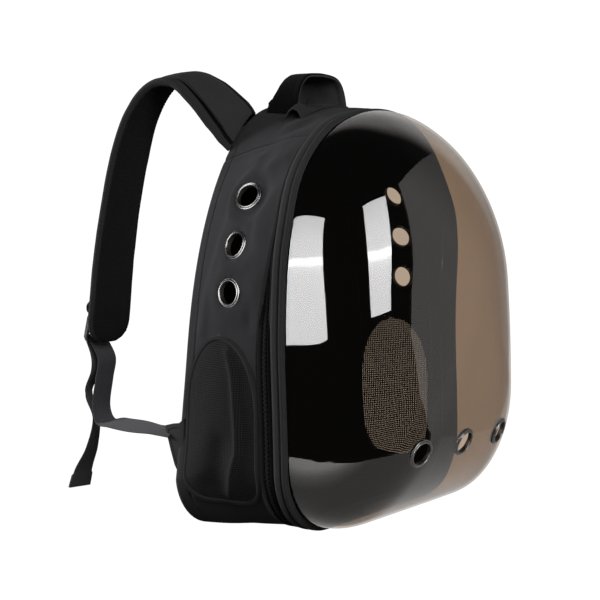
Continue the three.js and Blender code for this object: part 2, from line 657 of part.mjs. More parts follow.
// A band along table rows: a smooth line through their middles, each section square to the line, or the
// first one square to the way it starts. The section is points of its upper side, in half widths and half
// thicknesses.
function band(rows, steps, section, startAlong = null) {
  const middles = rows.map(({ x, y, z }) => new THREE.Vector3(x, y, z));
  const line = new THREE.CatmullRomCurve3(middles, false, "centripetal");
  const count = (rows.length - 1) * steps;
  const rings = [];
  for (let i = 0; i <= count; i++) {
    const first = Math.min(Math.floor(i / steps), rows.length - 2);
    const share = i / steps - first;
    const mix = (key) => lerp(rows[first][key] ?? 0, rows[first + 1][key] ?? 0, share);
    const middle = line.getPoint(i / count);
    const along = i === 0 && startAlong ? startAlong : line.getTangent(i / count);
    const widthWay = new THREE.Vector3(mix("wx"), mix("wy"), mix("wz"));
    widthWay.addScaledVector(along, -widthWay.dot(along)).normalize();
    const up = new THREE.Vector3().crossVectors(widthWay, along);
    const corner = ({ across, height }, sign) => middle.clone()
      .addScaledVector(widthWay, (across * mix("width")) / 2)
      .addScaledVector(up, (sign * height * mix("thick")) / 2);
    rings.push([
      ...section.map((point) => corner(point, 1)),
      ...[...section].reverse().map((point) => corner(point, -1)),
    ]);
  }
  return rings;
}

const PAD_SECTION = [
  { across: -1, height: 0.45 },
  { across: -0.88, height: 0.92 },
  { across: -0.4, height: 1 },
  { across: 0.4, height: 1 },
  { across: 0.88, height: 0.92 },
  { across: 1, height: 0.45 },
];
const FLAT_SECTION = [{ across: -1, height: 1 }, { across: 1, height: 1 }];

function strap(label, rows) {
  const rings = band(rows, STRAP_STEPS, PAD_SECTION, BACKWARDS);
  rings.flat().forEach((corner) => corner.setY(Math.max(corner.y, BACK_Y + GAP)));
  add(`strap_${label}`, loft(rings), CLOTH);
}

// The lock's own directions: up its frame, and out from the wearer's side
const LOCK_UP = new THREE.Vector3(0, -LOCK.lean, Math.sqrt(1 - LOCK.lean ** 2));
const LOCK_OUT = new THREE.Vector3(0, LOCK_UP.z, LOCK.lean);
const LOCK_HEIGHT = 3 * LOCK.bar + LOCK.topSlot + LOCK.window;
const TOP_BAR = LOCK_HEIGHT / 2 - LOCK.bar / 2;
const LOW_BAR = -TOP_BAR;

function lockMiddle(rows) {
  const end = rows[rows.length - 1];
  return new THREE.Vector3(end.x, end.y + LOCK_PLACE.behind, end.z + LOCK_PLACE.above);
}

function inLock(middle, [out, up]) {
  return middle.clone().addScaledVector(LOCK_OUT, out).addScaledVector(LOCK_UP, up);
}

function ladderLock(label, rows) {
  const half = LOCK.width / 2;
  const frame = new THREE.Shape();
  const lowHalf = half - LOCK.chamfer;
  const high = LOCK_HEIGHT / 2;
  frame.moveTo(-lowHalf, -high);
  frame.lineTo(lowHalf, -high);
  frame.lineTo(half, -high + LOCK.chamfer);
  frame.lineTo(half, high);
  frame.lineTo(-half, high);
  frame.lineTo(-half, -high + LOCK.chamfer);
  const slot = (low, height) => {
    const hole = new THREE.Path();
    const reach = half - LOCK.post;
    hole.moveTo(-reach, low);
    hole.lineTo(-reach, low + height);
    hole.lineTo(reach, low + height);
    hole.lineTo(reach, low);
    frame.holes.push(hole);
  };
  slot(high - LOCK.bar - LOCK.topSlot, LOCK.topSlot);
  slot(-high + LOCK.bar, LOCK.window);
  const geometry = new THREE.ExtrudeGeometry(frame, { depth: LOCK.thick, bevelEnabled: false });
  geometry.translate(0, 0, -LOCK.thick / 2);
  geometry.applyMatrix4(new THREE.Matrix4().makeBasis(new THREE.Vector3(-1, 0, 0), LOCK_UP, LOCK_OUT));
  add(`ladder_lock_${label}`, geometry, PLASTIC).position.copy(lockMiddle(rows));
}

const WEB_CLEAR = LOCK.thick / 2 + WEB_SLACK + WEBBING.thick / 2;

// A half turn of webbing round a bar, over its top (side 1) or under it (side -1), as [out, up] points
function roundBar(bar, side) {
  const [deep, high] = [LOCK.thick / 2, LOCK.bar / 2];
  const clear = WEB_CLEAR - deep;
  const bevel = clear * Math.SQRT1_2;
  const quarter = [
    [deep + clear, 0],
    [deep + clear, high],
    [deep + bevel, high + bevel],
    [deep, high + clear],
  ];
  const turn = [...quarter.map(([out, up]) => [-out, up]), ...[...quarter].reverse()];
  return turn.map(([out, up]) => [out, bar + side * up]);
}

function flatRow(point, side) {
  return { x: point.x, y: point.y, z: point.z, wx: -side, wy: 0, wz: 0, ...WEBBING };
}

// A folded length of webbing that holds the lock's top bar and lies on the strap's outer face
function lockTab(label, rows, side) {
  const middle = lockMiddle(rows);
  const { reach, spread } = LOCK_TAB;
  const ends = [[-WEB_CLEAR - spread, reach], [-WEB_CLEAR - spread + 2 * GAP + WEBBING.thick, reach]];
  const overBar = TOP_BAR + LOCK.bar / 2 + LOCK_TAB.overBar;
  const route = [ends[0], [-WEB_CLEAR, overBar], ...roundBar(TOP_BAR, -1), [WEB_CLEAR, overBar], ends[1]];
  const tabRows = route.map((point) => flatRow(inLock(middle, point), side));
  add(`lock_tab_${label}`, loft(band(tabRows, 1, FLAT_SECTION)), WEB);
}

function webbing(label, strapRows, rise, tail, side) {
  const middle = lockMiddle(strapRows);
  const sized = (row) => ({ ...row, ...WEBBING });
  const turn = roundBar(LOW_BAR, 1).map((point) => flatRow(inLock(middle, point), side));
  const rows = [...rise.map(sized), ...turn, ...tail.map(sized)];
  const rings = band(rows, WEB_STEPS, FLAT_SECTION, BACKWARDS);
  add(`webbing_${label}`, loft(rings), WEB);
}

function anchorTab(label, side) {
  const { x, thick, tipY, seamLow, seamHigh, tipLow, tipHigh } = ANCHOR_TAB;
  const seamY = BACK_Y + GAP;
  const shape = new THREE.Shape([
    new THREE.Vector2(seamY, seamLow),
    new THREE.Vector2(tipY, tipLow),
    new THREE.Vector2(tipY, tipHigh),
    new THREE.Vector2(seamY, seamHigh),
  ]);
  const geometry = new THREE.ExtrudeGeometry(shape, { depth: thick, bevelEnabled: false });
  geometry.applyMatrix4(new THREE.Matrix4().makeBasis(
    new THREE.Vector3(0, 1, 0), new THREE.Vector3(0, 0, 1), new THREE.Vector3(1, 0, 0),
  ));
  add(`anchor_tab_${label}`, geometry, CLOTH).position.x = side * x - thick / 2;
}

const SIDES = [
  { label: "left", side: -1, strapRows: STRAP_LEFT, rise: WEB_RISE_LEFT, tail: WEB_TAIL_LEFT },
  { label: "right", side: 1, strapRows: STRAP_RIGHT, rise: WEB_RISE_RIGHT, tail: WEB_TAIL_RIGHT },
];

backPanel();
add("base_panel", caseWall(-ARCH_STEPS.floor, ARCH_STEPS.floor), CLOTH);
add("top_panel", caseWall(HALF_STEPS - TOP_PANEL_STEPS, HALF_STEPS + TOP_PANEL_STEPS), CLOTH);
rim();
zipSlider();
dome();
handle();
handlePatch();
for (const { label, side, strapRows, rise, tail } of SIDES) {
  sidePanel(side, label);
  strap(label, strapRows);
  ladderLock(label, strapRows);
  lockTab(label, strapRows, side);
  webbing(label, strapRows, rise, tail, side);
  anchorTab(label, side);
}

export default pack;
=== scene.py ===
# Looks of the pet carrier backpack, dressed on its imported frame.
# Sizes are in millimetres in the part's own frame, and become metres where a mesh is made.

import math
from collections import namedtuple

import bmesh
import bpy
import numpy as np
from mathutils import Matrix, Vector, noise
from mathutils.bvhtree import BVHTree

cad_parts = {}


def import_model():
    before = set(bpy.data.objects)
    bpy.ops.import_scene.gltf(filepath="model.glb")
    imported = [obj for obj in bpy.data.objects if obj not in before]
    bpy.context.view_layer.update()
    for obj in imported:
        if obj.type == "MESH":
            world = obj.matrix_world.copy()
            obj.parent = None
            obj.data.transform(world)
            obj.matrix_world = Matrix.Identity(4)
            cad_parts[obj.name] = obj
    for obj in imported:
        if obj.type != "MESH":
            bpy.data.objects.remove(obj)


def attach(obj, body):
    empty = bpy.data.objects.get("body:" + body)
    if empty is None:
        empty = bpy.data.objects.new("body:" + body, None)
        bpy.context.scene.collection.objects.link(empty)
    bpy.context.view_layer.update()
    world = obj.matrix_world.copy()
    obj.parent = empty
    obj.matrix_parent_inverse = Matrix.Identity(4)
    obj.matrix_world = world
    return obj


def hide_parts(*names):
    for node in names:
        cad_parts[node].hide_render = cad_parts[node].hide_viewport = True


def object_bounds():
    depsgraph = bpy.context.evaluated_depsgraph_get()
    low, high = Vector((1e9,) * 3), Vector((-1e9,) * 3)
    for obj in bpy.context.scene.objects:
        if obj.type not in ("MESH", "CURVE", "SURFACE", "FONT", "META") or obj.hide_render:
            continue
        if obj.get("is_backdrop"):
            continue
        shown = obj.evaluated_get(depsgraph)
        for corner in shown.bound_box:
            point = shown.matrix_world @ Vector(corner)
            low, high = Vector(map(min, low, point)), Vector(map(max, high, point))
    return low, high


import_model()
cad_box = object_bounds()

SCENE = bpy.context.scene
MM = 0.001
BODY = "root"
SIDES = (("left", -1), ("right", 1))

# Driving sizes, as in the part's source

BACK_Y = 60
DOME_EDGE_Y = -67
DOME_DEPTH = 113
DOME_SKIRT = 16
DOME_WALL = 2
DOME_CENTRE_Z = 220
DOME_POWER_BELOW = 2.26
DOME_POWER_CROWN = 1.64
CASE_FRONT_Y = -36
CASE_WALL = 3

Arch = namedtuple("Arch", "half_width top spring corner bottom sag")
DOME_ARCH = Arch(142.5, 394.5, 242, 62, 11.5, 0)
RIM_ARCH = Arch(147.5, 400, 242, 64, 6, 0)
CROWN_FULLNESS = 2.1
WINDOW_ARCH = Arch(41, 183, 118, 26, 36, 0)
WINDOW_MIDDLE_Y = 12.5

# Sections of the case from its front edge to its back: y, then the arch there
CASE_SECTIONS = (
    (CASE_FRONT_Y, Arch(144.75, 397, 242, 62.9, 9, 0)),
    (-24, Arch(144.5, 398, 226, 76, 5, 0)),
    (12, Arch(143, 401, 185, 70, 2, 2)),
    (36, Arch(141, 402.5, 148, 58, 0.5, 5)),
    (BACK_Y, Arch(138.5, 403, 112, 48, 0, 8.5)),
)

Steps = namedtuple("Steps", "floor corner side crown")
CASE_STEPS = Steps(16, 30, 44, 100)
WINDOW_STEPS = Steps(8, 12, 14, 20)
RIM_STEPS = Steps(20, 36, 44, 110)
DOME_STEPS = Steps(60, 80, 80, 200)
TOP_PANEL_SHARE = 0.4
HALF_STEPS = sum(CASE_STEPS)
TOP_STEPS = int(CASE_STEPS.crown * TOP_PANEL_SHARE)

SIDE_VENTS = ((-1.3, 314.3), (0.7, 270.6), (2.8, 227.3))
DOME_VENTS = ((-68.6, 88.3), (0, 88.4), (68.6, 88.3))
VENT_BORE = 10.5
VENT_FLANGE = 13.6
VENT_CUT = 12.0

# How far each side eyelet is pulled round to the front by its cloth
SIDE_VENT_TURNS = (0.35, 0.17, 0.11)

# Rows along a strap's middle: x, y and z, the way across it, its width and its thickness
STRAP_LEFT = (
    (-57, 60.3, 376, 0.72, 0, 0.69, 55, 4),
    (-61, 74, 393, 0.76, 0, 0.65, 55, 9),
    (-66, 98, 416, 0.88, 0.1, 0.42, 56, 10),
    (-69, 122, 429, 0.95, 0.2, 0.22, 56, 10),
    (-73, 150, 424, 0.95, 0.24, 0.1, 56, 10),
    (-78, 173, 396, 0.96, 0.22, 0.05, 61, 10),
    (-83, 187, 352, 0.97, 0.18, 0, 62, 10),
    (-89, 195, 300, 0.98, 0.14, 0, 60, 10),
    (-95, 199, 250, 1, 0.08, 0, 58, 10),
    (-99, 201, 205, 1, 0.02, 0, 56, 10),
    (-100, 203, 182, 1, 0, 0, 56, 10),
    (-100, 203.5, 165, 1, 0, 0, 56, 10),
)
STRAP_RIGHT = (
    (54, 60.3, 379, -0.72, 0, 0.69, 63, 4),
    (57, 74, 384, -0.86, 0, 0.5, 60, 9),
    (60, 96, 386, -0.95, 0, 0.3, 57, 10),
    (64, 116, 378, -0.99, 0, 0.14, 56, 10),
    (68, 132, 356, -1, 0, 0.05, 56, 10),
    (74, 143, 318, -1, 0, 0, 56, 10),
    (81, 150, 272, -1, 0, 0, 56, 10),
    (88, 153, 226, -1, 0, 0, 56, 10),
    (95, 154.5, 178, -1, 0, 0, 56, 10),
    (99, 155.5, 151, -1, 0, 0, 56, 10),
    (100, 157.5, 128, -1, 0, 0, 56, 10),
    (100, 158, 111, -1, 0, 0, 56, 10),
)

# Rows along the webbing: x, y and z, and the way across it
WEB_RISE_LEFT = (
    (-139.5, 78, 91, 0.6, 0, 0.7),
    (-135, 104, 90, 0.86, 0.05, 0.36),
    (-124, 142, 87.5, 0.94, 0.1, 0.27),
    (-112, 180, 85, 0.96, 0.14, 0.2),
    (-104, 205, 84, 0.99, 0.08, 0.1),
    (-101, 214, 96, 1, 0, 0),
    (-99, 211, 126, 1, 0, 0),
    (-98, 208, 147, 1, 0, 0),
)
WEB_TAIL_LEFT = (
    (-99, 218, 150, 1, 0.06, 0),
    (-99, 219, 136, 0.98, 0.16, 0),
    (-100, 233.5, 110, 0.86, 0.56, 0),
    (-100, 223, 85, 0.86, 0.56, 0),
    (-100, 230, 53, 0.94, 0.3, 0),
    (-100, 243, 28, 1, 0, 0),
    (-100, 250, 8, 1, -0.12, 0),
)
WEB_RISE_RIGHT = (
    (139.5, 74.3, 91, -0.8, 0, 0.6),
    (136, 92, 86, -0.86, 0.1, 0.5),
    (127, 118, 72, -0.9, 0.2, 0.38),
    (114, 146, 54, -0.97, 0.1, 0.16),
    (104, 163, 52, -1, 0, 0),
    (101, 170, 62, -1, 0, 0),
    (100, 170, 84, -1, 0, 0),
)
WEB_TAIL_RIGHT = (
    (100, 183, 94, -1, 0, 0),
    (100, 188, 70, -1, 0, 0),
    (100, 186, 48, -1, 0, 0),
    (100, 189, 26, -1, 0, 0),
    (100, 194, 8, -1, 0, 0),
)
WEB_WIDTH = 25
WEB_THICK = 1.5
WEB_SLACK = 0.5
GAP = 0.3

Lock = namedtuple("Lock", "width chamfer bar post top_slot window thick lean")
LOCK = Lock(34, 3.2, 5, 4, 5, 7, 4, 0.26)
LOCK_BEHIND = 14.5
LOCK_ABOVE = 11

# Where each strap's solid ends, which its lock hangs behind
STRAP_ENDS = {"left": (-100, 203.5, 167), "right": (100, 158, 113)}

HANDLE_Y = 25
HANDLE_WIDTH = 42
HANDLE_THICK = 4
HANDLE_FOOT_Z = 399
HANDLE_HALF = ((36, 0), (33, 13), (27.5, 23.5), (20, 29.5), (11, 31.5))


# Small tools


def lerp(start, end, share):
    return start + (end - start) * share


def unit(vectors):
    vectors = np.asarray(vectors, float)
    return vectors / np.maximum(np.linalg.norm(vectors, axis=-1, keepdims=True), 1e-9)


# Rises from 0 at the low place to 1 at the high one. The low place may be the greater number.
def smooth_step(low, high, value):
    share = np.clip((value - low) / (high - low), 0, 1)
    return share * share * (3 - 2 * share)


# A bump of height 1 that fades with distance.
def bell(distance, spread):
    return np.exp(-((distance / spread) ** 2))


def turn_angles(count):
    return np.linspace(0, 2 * math.pi, count, endpoint=False)


def closed(rows):
    return np.vstack([rows, rows[:1]])


# Cubic between two values with the slope at each.
def cubic(start, start_slope, end, end_slope, share):
    return (
        start * (1 + 2 * share) * (1 - share) ** 2
        + start_slope * share * (1 - share) ** 2
        + end * share**2 * (3 - 2 * share)
        + end_slope * share**2 * (share - 1)
    )


# Monotone cubic through values at rising places.
def eased(places, values, at):
    span = np.diff(places)
    slope = np.diff(values) / span
    tangent = np.zeros(len(places))
    tangent[0] = slope[0]
    tangent[-1] = slope[-1]
    for i in range(1, len(places) - 1):
        if slope[i - 1] * slope[i] > 0:
            tangent[i] = 2 * slope[i - 1] * slope[i] / (slope[i - 1] + slope[i])
    i = int(np.clip(np.searchsorted(places, at) - 1, 0, len(span) - 1))
    share = (at - places[i]) / span[i]
    return cubic(values[i], tangent[i] * span[i], values[i + 1], tangent[i + 1] * span[i], share)


# Smooth noise at a point, up or down by about the height, with waves of the given length.
def ripple(point, height, wave_length, seed):
    x, y, z = (coordinate / wave_length for coordinate in point)
    return height * noise.noise(Vector((x + seed * 7.3, y - seed * 3.1, z)))


# Smooth line through points, with its steps between each pair, and its directions.
def smooth_line(points, steps):
    points = np.asarray(points, float)
    ends = 2 * points[[0, -1]] - points[[1, -2]]
    padded = np.vstack([ends[:1], points, ends[1:]])
    line = []
    for p0, p1, p2, p3 in zip(padded, padded[1:], padded[2:], padded[3:]):
        d0, d1, d2 = (math.sqrt(np.linalg.norm(way)) for way in (p1 - p0, p2 - p1, p3 - p2))
        t1 = ((p1 - p0) / d0 - (p2 - p0) / (d0 + d1) + (p2 - p1) / d1) * d1
        t2 = ((p2 - p1) / d1 - (p3 - p1) / (d1 + d2) + (p3 - p2) / d2) * d1
        line.extend(cubic(p1, t1, p2, t2, k / steps) for k in range(steps))
    line.append(points[-1])
    line = np.array(line)
    return line, unit(np.gradient(line, axis=0))


def running_length(points, axis=0):
    moved = np.linalg.norm(np.diff(points, axis=axis), axis=-1)
    zero = np.zeros_like(np.take(moved, [0], axis=axis))
    return np.concatenate([zero, np.cumsum(moved, axis=axis)], axis=axis)


# What a line's rows come to at a length along it.
def row_at(at, reach, rows):
    return np.array([np.interp(at, reach, column) for column in rows.T])


# Distance of a [y, z] point from a bent line of such points.
def line_distance(point, line):
    point = np.asarray(point, float)
    distances = []
    for start, end in zip(line[:-1], line[1:]):
        start = np.asarray(start, float)
        way = np.asarray(end, float) - start
        share = np.clip(np.dot(point - start, way) / np.dot(way, way), 0, 1)
        distances.append(np.linalg.norm(point - start - way * share))
    return min(distances)


def plain(row, column):
    return 0


# Faces gathered for one mesh. A mark is a face's place in its list of materials.
class Shape:
    def __init__(self):
        self.points = []
        self.faces = []
        self.uv = []
        self.marks = []

    def add_points(self, points):
        first = len(self.points)
        self.points.extend(tuple(point) for point in np.asarray(points, float).reshape(-1, 3))
        return first

    def add_face(self, corners, uv, mark=0):
        self.faces.append(tuple(corners))
        self.uv.append(uv)
        self.marks.append(mark)

    # A grid of points, joined round into a ring where asked. The mark may depend on row and column.
    def add_grid(self, points, wrap_rows=False, wrap_columns=False, mark=plain):
        points = np.asarray(points, float)
        rows, columns = points.shape[:2]
        full = np.concatenate([points, points[:, :1]], axis=1) if wrap_columns else points
        full = np.concatenate([full, full[:1]], axis=0) if wrap_rows else full
        u = running_length(full, 1) * MM
        v = running_length(full, 0) * MM
        first = self.add_points(points)
        for r in range(full.shape[0] - 1):
            low = first + r * columns
            high = first + ((r + 1) % rows) * columns
            for c in range(full.shape[1] - 1):
                after = (c + 1) % columns
                places = ((r, c), (r, c + 1), (r + 1, c + 1), (r + 1, c))
                corners = (low + c, low + after, high + after, high + c)
                self.add_face(corners, [(u[place], v[place]) for place in places], mark(r, c))
        return first

    # A flat end over a ring of points that are already there.
    def add_cap(self, first, count, mark=0):
        corners = range(first, first + count)
        self.add_face(corners, self.flat_uv(corners, 0), mark)

    # Rings round a middle, with a cap over the last.
    def add_dish(self, rings, mark=plain, cap_mark=0):
        first = self.add_grid(rings, wrap_columns=True, mark=mark)
        count = len(rings[0])
        self.add_cap(first + (len(rings) - 1) * count, count, cap_mark)

    # A tube of rings, closed at both ends.
    def add_tube(self, rings, mark=plain):
        first = self.add_grid(rings, wrap_columns=True, mark=mark)
        count = len(rings[0])
        self.add_cap(first, count)
        self.add_cap(first + (len(rings) - 1) * count, count)

    # Pattern places straight from one axis and the height.
    def flat_uv(self, corners, axis):
        return [(self.points[i][axis] * MM, self.points[i][2] * MM) for i in corners]

    def lay_flat(self, axis):
        self.uv = [self.flat_uv(face, axis) for face in self.faces]

    # Drops the faces inside a hole and draws the points round it onto its edge. Inside is a test of a
    # point, and onto gives the place on the hole's edge for a point beside it.
    def cut(self, inside, onto):
        hit = [inside(np.array(point)) for point in self.points]
        kept = []
        edge = set()
        for i, corners in enumerate(self.faces):
            if any(hit[corner] for corner in corners):
                edge.update(corner for corner in corners if not hit[corner])
            else:
                kept.append(i)
        for corner in edge:
            self.points[corner] = tuple(onto(np.array(self.points[corner])))
        self.faces = [self.faces[i] for i in kept]
        self.uv = [self.uv[i] for i in kept]
        self.marks = [self.marks[i] for i in kept]

    def tree(self):
        return BVHTree.FromPolygons([Vector(point) for point in self.points], self.faces)


def ring_shape(rings, mark=plain):
    shape = Shape()
    shape.add_grid(rings, wrap_rows=True, wrap_columns=True, mark=mark)
    return shape


def tube_shape(*tubes, mark=plain):
    shape = Shape()
    for rings in tubes:
        shape.add_tube(rings, mark)
    return shape


SHARP_ANGLE = math.radians(48)
BEVEL_ANGLE = math.radians(35)


def shade_smooth(mesh):
    mesh.polygons.foreach_set("use_smooth", [True] * len(mesh.polygons))
    mesh.set_sharp_from_angle(angle=SHARP_ANGLE)


# A mesh object from a shape, riding on the body. An open sheet is turned to face away from the pivot.
def make(name, shape, materials, replaced=(), pivot=None):
    mesh = bpy.data.meshes.new(name)
    mesh.from_pydata((np.array(shape.points) * MM).tolist(), [], shape.faces)
    layer = mesh.uv_layers.new(name="UVMap")
    layer.data.foreach_set("uv", [number for face in shape.uv for pair in face for number in pair])
    mesh.polygons.foreach_set("material_index", shape.marks)
    for material in materials:
        mesh.materials.append(material)
    work = bmesh.new()
    work.from_mesh(mesh)
    loose = [vertex for vertex in work.verts if not vertex.link_faces]
    bmesh.ops.delete(work, geom=loose, context="VERTS")
    bmesh.ops.recalc_face_normals(work, faces=work.faces)
    if pivot is not None:
        centre = Vector(pivot) * MM
        facing = sum(
            face.calc_area() * face.normal.dot((face.calc_center_median() - centre).normalized())
            for face in work.faces
        )
        if facing < 0:
            bmesh.ops.reverse_faces(work, faces=work.faces)
    work.to_mesh(mesh)
    work.free()
    shade_smooth(mesh)
    piece = bpy.data.objects.new(name, mesh)
    SCENE.collection.objects.link(piece)
    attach(piece, BODY)
    if replaced:
        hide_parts(*replaced)
    return piece


# Puts what the modifiers make into the mesh itself.
def bake(piece):
    made = piece.evaluated_get(bpy.context.evaluated_depsgraph_get())
    mesh = bpy.data.meshes.new_from_object(made)
    piece.modifiers.clear()
    piece.data = mesh


# Gives a sheet its wall, with the next material inside.
def thicken(piece, thickness):
    shell = piece.modifiers.new("wall", "SOLIDIFY")
    shell.thickness = thickness * MM
    shell.offset = -1
    shell.material_offset = 1
    bake(piece)


def soften(piece, width, segments=3):
    bevel = piece.modifiers.new("edge", "BEVEL")
    bevel.width = width * MM
    bevel.segments = segments
    bevel.limit_method = "ANGLE"
    bevel.angle_limit = BEVEL_ANGLE
    bake(piece)
    shade_smooth(piece.data)


def cloth_area(piece, layers=2):
    return sum(polygon.area for polygon in piece.data.polygons) / layers


# Materials


def add_node(tree, kind, inputs=None, **settings):
    made = tree.nodes.new(kind)
    for key, value in settings.items():
        setattr(made, key, value)
    for key, value in (inputs or {}).items():
        if isinstance(value, bpy.types.NodeSocket):
            tree.links.new(value, made.inputs[key])
        else:
            made.inputs[key].default_value = value
    return made


def maths(tree, operation, *values):
    made = add_node(tree, "ShaderNodeMath", dict(enumerate(values)), operation=operation)
    return made.outputs[0]


# One value where the share is 0 and another where it is 1.
def between(tree, low, high, share):
    return maths(tree, "MULTIPLY_ADD", maths(tree, "SUBTRACT", high, low), share, low)


# A value of 0 to 1 spread over -1 to 1.
def signed(tree, value):
    return maths(tree, "MULTIPLY_ADD", value, 2.0, -1.0)


def blank_material(name):
    material = bpy.data.materials.new(name)
    material.use_nodes = True
    material.node_tree.nodes.clear()
    return material, material.node_tree


def surfaced(material, shader):
    add_node(material.node_tree, "ShaderNodeOutputMaterial", {"Surface": shader})
    return material


def uv_parts(tree):
    place = add_node(tree, "ShaderNodeUVMap", uv_map="UVMap").outputs["UV"]
    parts = add_node(tree, "ShaderNodeSeparateXYZ", {"Vector": place})
    return place, parts.outputs["X"], parts.outputs["Y"]


def object_place(tree):
    return add_node(tree, "ShaderNodeTexCoord").outputs["Object"]


def wave(tree, place, pitch):
    return maths(tree, "SINE", maths(tree, "MULTIPLY", place, 2 * math.pi / pitch))


def clouds_at(tree, place, scale, detail, **more):
    inputs = {"Vector": place, "Scale": scale, "Detail": detail, **more}
    return add_node(tree, "ShaderNodeTexNoise", inputs).outputs[0]


def relief_of(tree, height, strength, depth):
    inputs = {"Height": height, "Strength": strength, "Distance": depth}
    return add_node(tree, "ShaderNodeBump", inputs).outputs[0]


# A colour that runs between two shades of itself as a pattern of -1 to 1 rises.
def shaded(tree, pattern, colour, shades):
    share = maths(tree, "MULTIPLY_ADD", pattern, 0.5, 0.5)
    ramp = add_node(tree, "ShaderNodeValToRGB", {"Fac": share})
    for element, shade in zip(ramp.color_ramp.elements, shades):
        element.color = (*(channel * shade for channel in colour), 1)
    return ramp.outputs["Color"]


def skin(tree, colour, shades, pattern, roughness, **more):
    inputs = {"Base Color": shaded(tree, pattern, colour, shades), "Roughness": roughness}
    inputs.update(more)
    return add_node(tree, "ShaderNodeBsdfPrincipled", inputs).outputs[0]


# Cloth has a sheen and no gloss.
def cloth_skin(tree, colour, shades, pattern, roughness, relief, sheen, sheen_roughness=0.5):
    more = {"Normal": relief, "Sheen Weight": sheen, "Specular IOR Level": 0.0}
    more["Sheen Roughness"] = sheen_roughness
    return skin(tree, colour, shades, pattern, roughness, **more)


def mixed_shader(tree, share, first, second):
    return add_node(tree, "ShaderNodeMixShader", {0: share, 1: first, 2: second}).outputs[0]


# Plain-woven cloth: crossing threads at the given pitch, with soft patches of lighter and darker cloth.
def woven(name, colour, pitch, contrast=0.25, bump=0.3, roughness=0.8, sheen=0.03, patches=0.12):
    material, tree = blank_material(name)
    place, u, v = uv_parts(tree)
    threads = maths(tree, "MULTIPLY", wave(tree, u, pitch), wave(tree, v, pitch))
    clouds = clouds_at(tree, place, scale=38.0, detail=4.0, Roughness=0.6)
    cloud = maths(tree, "MULTIPLY_ADD", clouds, 2 * patches / contrast, -patches / contrast)
    pattern = maths(tree, "ADD", threads, cloud)
    rough = maths(tree, "MULTIPLY_ADD", clouds, 0.16, roughness - 0.08)
    relief = relief_of(tree, threads, strength=bump, depth=0.0004)
    shades = (1 - contrast, 1 + contrast)
    shader = cloth_skin(tree, colour, shades, pattern, rough, relief, sheen, sheen_roughness=0.45)
    return surfaced(material, shader)


PICK_PITCH = 0.0016
PICK_LEAN = 0.8


# Webbing: ribs along its length with a fine herringbone across them.
def ribbed(name, colour, rib):
    material, tree = blank_material(name)
    place, u, v = uv_parts(tree)
    ribs = wave(tree, u, rib)
    turned = maths(tree, "MULTIPLY", v, 2 * math.pi / PICK_PITCH)
    picks = maths(tree, "SINE", maths(tree, "MULTIPLY_ADD", ribs, PICK_LEAN, turned))
    height = maths(tree, "MULTIPLY_ADD", picks, 0.35, ribs)
    clouds = clouds_at(tree, place, scale=60.0, detail=3.0)
    pattern = maths(tree, "MULTIPLY_ADD", clouds, 0.6, maths(tree, "MULTIPLY", height, 0.5))
    relief = relief_of(tree, height, strength=0.45, depth=0.0004)
    shader = cloth_skin(tree, colour, (0.72, 1.2), pattern, roughness=0.75, relief=relief, sheen=0.03)
    return surfaced(material, shader)


# Air mesh: a knitted face with rows of small round pits.
def pitted(name, colour, pitch):
    material, tree = blank_material(name)
    place, u, v = uv_parts(tree)
    waves = [wave(tree, maths(tree, operation, u, v), pitch) for operation in ("ADD", "SUBTRACT")]
    pits = maths(tree, "MULTIPLY", *waves)
    clouds = clouds_at(tree, place, scale=70.0, detail=3.0)
    pattern = maths(tree, "MULTIPLY_ADD", clouds, 0.5, pits)
    relief = relief_of(tree, pits, strength=0.6, depth=0.0006)
    shader = cloth_skin(tree, colour, (0.5, 1.35), pattern, roughness=0.9, relief=relief, sheen=0.02)
    return surfaced(material, shader)


# Open net: square holes between knitted threads.
def netting(name, colour, pitch, thread):
    material, tree = blank_material(name)
    place, u, v = uv_parts(tree)
    clouds = clouds_at(tree, place, scale=90.0, detail=2.0)
    wobble = maths(tree, "MULTIPLY_ADD", clouds, 0.0006, -0.0003)
    rows = []
    for direction in (u, v):
        shifted = maths(tree, "ADD", direction, wobble)
        cell = maths(tree, "FRACT", maths(tree, "DIVIDE", shifted, pitch))
        rows.append(maths(tree, "ABSOLUTE", maths(tree, "SUBTRACT", cell, 0.5)))
    nearest = maths(tree, "MAXIMUM", *rows)
    solid = maths(tree, "GREATER_THAN", nearest, 0.5 - thread / 2)
    relief = relief_of(tree, nearest, strength=0.5, depth=0.0006)
    crossing = signed(tree, maths(tree, "ADD", *rows))
    threads = cloth_skin(tree, colour, (0.6, 1.5), crossing, roughness=0.75, relief=relief, sheen=0.03)
    holes = add_node(tree, "ShaderNodeBsdfTransparent").outputs[0]
    return surfaced(material, mixed_shader(tree, solid, holes, threads))


def moulded(name, colour, roughness):
    material, tree = blank_material(name)
    place = object_place(tree)
    grain = clouds_at(tree, place, scale=1400.0, detail=2.0)
    relief = relief_of(tree, grain, strength=0.15, depth=0.0002)
    wear = clouds_at(tree, place, scale=160.0, detail=3.0)
    rough = maths(tree, "MULTIPLY_ADD", wear, 0.2, roughness - 0.1)
    return surfaced(material, skin(tree, colour, (0.75, 1.3), signed(tree, wear), rough, Normal=relief))


def polished(name, colour, roughness):
    material, tree = blank_material(name)
    wear = clouds_at(tree, object_place(tree), scale=220.0, detail=4.0)
    rough = maths(tree, "MULTIPLY_ADD", wear, 0.18, roughness - 0.09)
    return surfaced(material, skin(tree, colour, (0.8, 1.15), signed(tree, wear), rough, Metallic=1.0))


INNER_GLOSS = 0.35
GLANCING_POWER = 5.0


